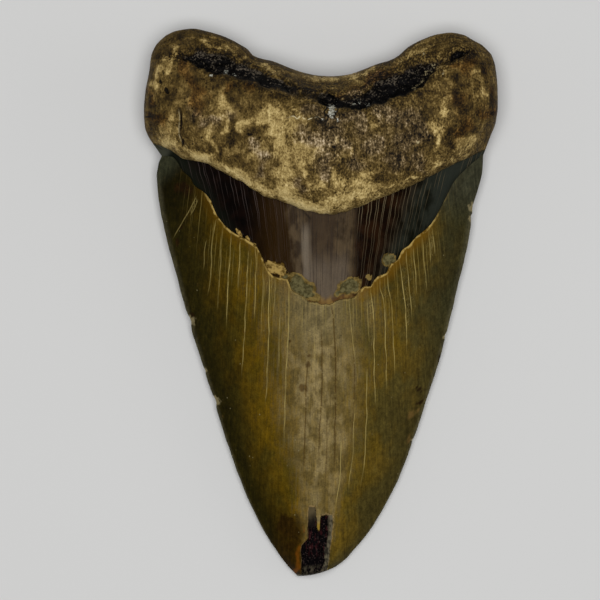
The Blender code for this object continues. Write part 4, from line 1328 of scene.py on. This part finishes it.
# a brown patch left of the broken tip: partly stain, partly painted shadow
stain_and_painted_shadow_by_break = soft(enamel.x + 2 * patches, -3.2, -5.6) * soft(enamel.x, -14, -9)
stain_and_painted_shadow_by_break = stain_and_painted_shadow_by_break * soft(enamel.y + 4 * patches, -50, -56)
enamel.paint(0.8 * stain_and_painted_shadow_by_break, (42, 28, 4))
spots = soft(enamel.mark("spots") + 1.6 * leather + 0.8 * grain, 0.25, 0.75)
enamel.paint(0.75 * spots, (56, 38, 12))
lightness = (1 + silk) * (1 + 0.8 * fibres) * (1 + grain) * (1 + 1.4 * leather) * (1 + patches)
enamel.colour = shade(enamel.colour, lightness)
enamel.report()

# %% [markdown]
# The cracks, measured before, now take their colour. Between them run many hairlines, placed by random
# points on one axis, which fade out away from the band. Along the band the enamel is thin and glows
# golden, and its broken rim is a fine cream line. The nicks in the cutting edges are pale, too, because
# the enamel is worn off there.

# %% Enamel: cracks, hairlines and rim
specks = soft(enamel.cells(2.1, 6), 0.12, 0.04) * soft(enamel.cells(2.1, 6, "Color"), 0.6, 0.72)
enamel.paint(0.5 * specks, (140, 130, 92))
breaks = 0.45 + 0.55 * soft(enamel.noise((3, 4, 3), 7), -0.14, 0.06)
pale_crack = enamel.line("pale_crack", 0.115) * breaks
hairs = soft(enamel.stripes((fan + 0.15 + 0.3 * enamel.noise((6, 5, 6), 12)) / 1.15, 0.9), 0.11, 0.02)
below_edge = soft(enamel.mark("to_edge") + 14 * enamel.noise((1.6, 30, 9), 13), 15, 2)
hairs = hairs * below_edge * soft(aside, 0.9, 0.7) * soft(enamel.noise((1.3, 12, 9), 14), -0.1, 0.08)
enamel.paint(0.5 * hairs, (146, 128, 68))
dark_crack = enamel.line("dark_crack", 0.18) * soft(enamel.noise((1, 0.8, 1), 8), -0.16, -0.04)
enamel.paint(0.85 * pale_crack, (166, 148, 88))
enamel.paint(0.75 * dark_crack, (66, 47, 16))
to_edge = enamel.mark("to_edge")
glow = soft(to_edge + 2 * patches, 3.2, 0.4) * soft(aside, 0.8, 0.68)
glow = glow * soft(abs(enamel.x - 1), 6, 10) * (0.4 + 0.6 * on_right)
enamel.paint(0.65 * glow, (104, 72, 8))
orange = soft(enamel.mark("orange") + 0.4 * leather, 0.0, 1.0)
orange_tone = mix(on_right, (112, 64, 10), (110, 84, 44))
enamel.paint(0.65 * orange, orange_tone)
worn = soft(enamel.mark("worn_edge") + 1.6 * leather, 0.35, 0.75)
enamel.paint(0.7 * worn, (134, 122, 88))
rim = soft(to_edge + 1.2 * patches + 0.8 * leather, 0.52, 0.12) * soft(aside, 0.84, 0.72)
rim = rim * soft(enamel.noise(1.6, 9), -0.14, 0.06) * soft(enamel.x, -29.6, -27.8)
rim = rim * (0.3 + 0.7 * soft(abs(enamel.x - 0.5), 6, 11))
enamel.paint(0.9 * rim, (172, 146, 82))
enamel.report()

# %% [markdown]
# At the tip the enamel has splintered off. The dentine in the slot is nearly black with a reddish tinge,
# its steep walls and the shallow end of its left branch are grey, and a yellow splinter of enamel is left
# between the two branches. The dentine is rougher than the enamel, and ridged.

# %% Enamel: the open dentine at the tip
broken = enamel.mark("broken")
splinters = enamel.noise((0.4, 3, 1), 10)
glints = soft(enamel.noise(0.4, 11), 0.06, 0.22)
maroon = soft(splinters + 0.8 * leather, 0, 0.22) * soft(enamel.y, -64.5, -61)
dentine = mix(maroon, (5, 3, 4), (44, 15, 17))
shallow = soft(enamel.mark("break_depth") + 1.0 * splinters, 1.3, 0.8)
low_end = soft(enamel.y + 2 * patches, -65.2, -66.6)
shallow = shallow + 0.45 * low_end * soft(leather, -0.1, 0.1)
wall = mix(soft(leather, -0.14, 0.1), (40, 37, 30), (96, 89, 70))
dentine = mix(shallow, dentine, wall)
dentine = mix(0.28 * glints, dentine, (112, 92, 86))
left_strip = soft(enamel.x, -1.0, -1.7) * soft(enamel.y + 2 * splinters, -57, -55)
blunt = mix(soft(enamel.y + 3 * silk, -51.6, -54.8), (84, 73, 50), (28, 23, 19))
dentine = mix(0.9 * left_strip, dentine, blunt)
torn = soft(broken, 0.01, 0.12) * soft(broken, 0.8, 0.4) * soft(leather, -0.1, 0.06)
yellow = soft(abs(enamel.x + 0.5), 0.9, 0.4) * soft(enamel.y, -54.2, -55.8)
enamel.paint(0.8 * yellow, (140, 112, 34))
enamel.paint(broken, dentine)
enamel.paint(0.7 * torn, (150, 124, 82))
roughness = 0.33 + 0.14 * silk + 0.3 * broken
height = 0.03 * silk + 0.02 * fibres + 0.02 * grain - 0.05 * pale_crack - 0.05 * dark_crack
enamel.apply(roughness, height + 0.15 * (splinters + 0.5) * broken)

# %% [markdown]
# The neck band is bare dentine, polished and dark. Its ground is nearly black on the left, grey in the
# middle with a brown heart below the root and a pale streak, brown on the right, and a smooth grey-green
# at both ends. The grey of the middle, and most of all its grey heart low down, is a painted reflection of
# the overhead light on the band's crest, and the brown heart is partly stain and partly painted shade
# under the root's lip. The middle's borders lean, so they are cut from X plus a share of Y.

# %% Neck: ground colours
neck = Finish("neck", {"IOR": 1.5, "Specular IOR Level": 0.02})
fan = neck.x / (1 + 0.011 * (neck.y - 10))
stripes = neck.stripes((fan + 0.4 + 0.8 * neck.noise((7, 5, 7), 1)) / 0.78, 0.75)
own = neck.noise((1.1, 9, 9), 2, 2, place=neck.at(fan, neck.y))
brown_side = soft(neck.x, 8, 10) * soft(neck.x, 24, 18)
striae = soft(stripes, 0.12, 0.03) * soft(own + 0.14 * brown_side, -0.12, 0.12)
silk = neck.noise((0.35, 8, 8), 3, place=neck.at(fan, neck.y))
patches = neck.noise((2.2, 3.6, 3), 4)
grain = neck.noise(0.35, 5, 2)

left = mix(soft(patches, -0.1, 0.15), (8, 5, 4), (17, 9, 6))
left = mix(soft(neck.x + 3 * patches, -19, -11), left, (38, 24, 6))
right = mix(soft(patches, -0.15, 0.15), (15, 7, 3), (34, 19, 8))
# painted reflection: the middle is lighter and greyer where the overhead light is mirrored on the band's
# crest
middle = mix(soft(patches, -0.15, 0.15), (46, 35, 22), (76, 62, 43))
far_right = mix(soft(patches, -0.15, 0.15), (15, 16, 9), (33, 35, 28))
from_streak = abs(neck.x + 3.6 + 0.03 * (neck.y - 12) + 1.6 * own)
pale_streak = soft(from_streak, 1.6, 0.3) * soft(neck.y, 3, 7)
middle = mix(0.8 * pale_streak * soft(neck.y, 21, 17), middle, (110, 99, 84))
# painted reflection: a grey heart low in the middle
grey_heart_painted_sheen = soft(abs(neck.x - 1.6), 6.5, 4) * soft(neck.y + 4 * patches, 15, 8)
middle = mix(0.7 * grey_heart_painted_sheen, middle, (94, 82, 68))
# partly stain, partly painted shade under the overhanging lip of the root
brown_heart_and_painted_shade = soft(abs(neck.x - 0.4 + 1.4 * patches), 4, 2) * soft(neck.y + 6 * own, 6, 17)
middle = mix(0.75 * brown_heart_and_painted_shade, middle, (54, 41, 27))
shifted = neck.x + 2.4 * patches
neck.colour = mix(soft(shifted + 0.14 * (neck.y - 14), -8.4, -6.2), left, middle)
neck.paint(soft(shifted, 7.6, 9.4), right)
neck.paint(soft(shifted - 0.4 * (neck.y - 20), 16, 23), far_right)
right_end = soft(shifted, 26, 30)
neck.paint(0.9 * right_end, (38, 41, 35))
left_end = soft(shifted + 0.6 * (neck.y - 30), -26, -33)
neck.paint(0.9 * left_end, (21, 24, 17))
neck.colour = shade(neck.colour, (1 + 0.6 * silk) * (1 + 0.4 * grain))
neck.report()

# %% [markdown]
# Fine pale lines fan out over the band towards the root. Random points on one axis place them, in a
# coordinate that widens upwards, and a second noise lets each come and go. Crust and chips of enamel still
# cling to the band's lower edge, and the two large chips are hollow and darker in their middle.

# %% Neck: lines, crust and chips
in_middle = soft(abs(neck.x - 0.8), 9, 7)
toward_lip = 0.35 + 0.65 * soft(neck.mark("to_lip"), -9, -1)
striae = striae * (1 - 0.75 * in_middle) * toward_lip * soft(neck.x, -38, -30)
pale_line = mix(soft(neck.x, -8, 6), (82, 70, 66), (108, 95, 70))
neck.paint((0.5 + 0.25 * brown_side) * striae, pale_line)
skin = soft(neck.x - 0.8 * (neck.y - 37) + patches, -37, -39.5)
neck.paint(skin, (56, 57, 47))
dark_lines = soft(stripes, 0.15, 0.06) * in_middle * soft(own, 0.06, -0.08)
neck.paint(0.6 * dark_lines, (30, 24, 20))
neck.paint(0.7 * neck.line("dark_crack", 0.2), (20, 14, 9))
to_edge = neck.mark("to_edge")
low_crust = soft(to_edge + 2.4 * patches, -2.2, -0.6) * soft(abs(neck.x - 1), 9, 5)
neck.paint(0.8 * low_crust, mix(soft(patches, -0.1, 0.1), (84, 54, 18), (126, 98, 46)))

chip = soft(neck.mark("chip") + 0.8 * neck.noise(0.9, 9), 0.35, 0.6)
chip_core = soft(neck.mark("chip_core") + 1.2 * neck.noise(1.3, 7), 0.3, 0.7)
crumbs = neck.noise(0.8, 6)
crust = mix(soft(crumbs + 1.2 * neck.noise(3, 8), -0.14, 0.16), (84, 64, 24), (158, 132, 74))
hollow = mix(soft(crumbs, -0.14, 0.14), (64, 58, 33), (98, 91, 59))
crust = mix(0.6 * soft(neck.x, -9.6, -7.4), crust, (82, 70, 36))
neck.paint(chip, mix(chip_core, crust, hollow))
roughness = 0.25 + 0.14 * silk + 0.3 * chip + 0.1 * striae
height = 0.05 * silk + 0.03 * (grain + 0.5) * (1 - chip) - 0.03 * striae + 0.1 * (crumbs + 0.5) * chip
neck.apply(roughness, height)

# %% [markdown]
# The root is porous bone, filled with minerals: tan where it is bare, with stains over it, and speckled by
# its pores. All that makes it lighter or darker is added up to one tone, and a ramp turns the tone into a
# colour, so that noise and stains never part. A border of clean pale bone follows the lip, and faint rings
# follow the outline.

# %% Bone: tones and stains
bone = Finish("bone", {"IOR": 1.5, "Specular IOR Level": 0.1})
BONE_TONES = [
    (0, (16, 11, 6)), (0.2, (45, 34, 13)), (0.4, (80, 63, 28)), (0.6, (122, 101, 56)),
    (0.8, (174, 150, 94)), (1, (210, 188, 130)),
]
drifts = bone.noise(6, 1)
patches = bone.noise((1.7, 2.1, 1.9), 2, 4)
speckle = bone.noise((0.42, 0.62, 0.5), 3, 3)
grain = bone.noise((0.2, 0.26, 0.2), 4, 2)
pits = soft(bone.cells(0.8, 5), 0.42, 0.15) * soft(bone.cells(0.8, 5, "Color"), 0.5, 0.56)
strands = bone.noise((0.5, 3.2, 1.6), 9)
loose = 0.8 * patches + 0.7 * speckle

kinds_of_stain = ("pale", "buff", "grey", "dark", "red")
pale, buff, grey, dark, red = (soft(bone.mark(name) + loose, 0.1, 0.95) for name in kinds_of_stain)
pale = soft(bone.mark("pale") + 0.6 * loose, -0.1, 1.25)
grey = grey * (1 - 0.7 * pale)
pale = pale * (1 + 0.6 * bone.noise(3.2, 13, 2))
border = soft(bone.mark("to_lip") + 3 * patches, 2.4, 0.2) * soft(bone.x, 27, 16)
tone = 0.41 + 0.37 * pale + 0.24 * buff * (1 - pale) + 0.19 * border
tone = tone - 0.02 * grey - 0.17 * dark - 0.06 * red
beside = bone.mark("beside_fissure") * soft(speckle + 0.6 * patches, 0.16, -0.1)
near_outline = soft(bone.mark("to_outline"), 9, 2.5)
rings_at = bone.at(bone.mark("to_outline"), bone.mark("along_outline"))
rings = bone.noise((0.8, 11, 1), 12, 3, place=rings_at)
tone = tone - 0.32 * beside + 0.6 * near_outline * rings - 0.05 * near_outline
tone = tone + 0.35 * drifts + (0.75 - 0.35 * near_outline) * patches
on_right = soft(bone.x, -12, 8)
tone = tone + (0.6 + 0.3 * on_right + 0.5 * grey) * speckle
tone = tone + 0.4 * grain + (0.3 + 0.5 * grey) * strands
slit = soft(bone.mark("slits"), 0.12, 0.35)
bone.colour = ramp(tone - 0.16 * pits - 0.5 * slit, BONE_TONES)
bone.paint(0.8 * grey, tinted(bone.colour, (0.98, 1.04, 1.8)))
bone.paint(0.7 * red, tinted(bone.colour, (1.0, 0.74, 0.5)))
pale_crack = bone.line("pale_crack", 0.13) * soft(bone.noise(1.1, 14), -0.14, 0)
dark_crack = bone.line("dark_crack", 0.22)
bone.paint(0.85 * pale_crack, (206, 192, 152))
bone.paint(0.9 * dark_crack, (14, 10, 7))
bone.report()

# %% [markdown]
# The fissure holds black silt with loose grey crumbs, more of them on its upper wall; the near-black of
# the groove is partly silt and partly painted shade. Pale crystals grew in the hole below it and on a few
# spots of its rim. Both are cut out of noise: the crumbs by a level, and the crystals where the bumps
# stored on the mesh lift the noise over a level.

# %% Bone: silt, painted shade and crystals
fissure = soft(bone.mark("fissure") + 0.8 * speckle, 0.2, 0.55)
clumps = bone.noise((2.2, 1.3, 2), 8, 2)
high_up = soft(bone.mark("fissure_side") + 3 * clumps, -0.7, 1.3)
crumbs = bone.noise(0.5, 6, 4) + 0.15 * high_up + 0.3 * clumps - 0.04 * soft(bone.x, 2, 12)
crumbs = soft(crumbs, 0.07, 0.2)
# the near-black of the groove is partly silt and partly painted shade
silt_and_painted_shade = mix(crumbs, (4, 3, 3), mix(grain + 0.5, (40, 34, 29), (108, 98, 82)))
bone.paint(fissure, silt_and_painted_shade)
crystals = soft(bone.mark("crystals") + 2.4 * bone.noise(0.7, 7), 0.62, 0.9)
dull = mix(soft(bone.x, 12, 20), (112, 110, 98), (70, 60, 40))
bright = mix(soft(bone.x, 12, 20), (205, 205, 190), (176, 162, 122))
bone.paint(0.9 * crystals, mix(soft(speckle, -0.1, 0.12), dull, bright))
roughness = 0.7 + 0.2 * speckle
height = 0.16 * speckle + 0.06 * grain + 0.12 * patches - 0.12 * pits - 0.06 * dark_crack
bone.apply(roughness, height)

# %% [markdown]
# Everything else is only there to see the tooth by: a pale floor, one large soft light overhead, a long
# strip light low on either side, which lights the cutting edges along with the highlight painted there,
# and a pale sky.

# %% Floor, lights and sky
FLOOR_SIZE = 4.0
FLOOR_GAP = 0.0001


def soft_light(name, place, tilt, size, power):
    """A rectangular light, tilted about the Y axis."""
    data = bpy.data.lights.new(name, "AREA")
    data.shape = "RECTANGLE"
    data.size, data.size_y = size
    data.energy = power
    light = bpy.data.objects.new(name, data)
    light.location = place
    light.rotation_euler = (0, np.radians(tilt), 0)
    bpy.context.scene.collection.objects.link(light)


soft_light("overhead_light", (0, 0, 1.9), 0, (1.3, 1.3), 27)
soft_light("left_strip", (-0.9, 0, 0.35), -68, (0.3, 1.0), 0.5)
soft_light("right_strip", (0.9, 0, 0.35), 68, (0.3, 1.0), 1.0)
half = FLOOR_SIZE / 2
floor_mesh = bpy.data.meshes.new("floor")
floor_corners = [(x * half, y * half, -FLOOR_GAP) for x, y in ((-1, -1), (1, -1), (1, 1), (-1, 1))]
floor_mesh.from_pydata(floor_corners, [], [(0, 1, 2, 3)])
floor = bpy.data.objects.new("floor", floor_mesh)
bpy.context.scene.collection.objects.link(floor)
paint = bpy.data.materials.new("floor_paint")
paint.use_nodes = True
paint.node_tree.nodes["Principled BSDF"].inputs["Base Color"].default_value = (0.7, 0.7, 0.69, 1)
floor_mesh.materials.append(paint)
sky = bpy.data.worlds.new("sky")
sky.use_nodes = True
sky.node_tree.nodes["Background"].inputs["Color"].default_value = (0.9, 0.9, 0.92, 1)
sky.node_tree.nodes["Background"].inputs["Strength"].default_value = 0.12
bpy.context.scene.world = sky
bpy.context.scene.view_settings.view_transform = "Standard"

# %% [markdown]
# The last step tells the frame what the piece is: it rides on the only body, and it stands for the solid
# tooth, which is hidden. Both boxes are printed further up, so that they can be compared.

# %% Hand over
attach(tooth, "root")
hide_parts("tooth")
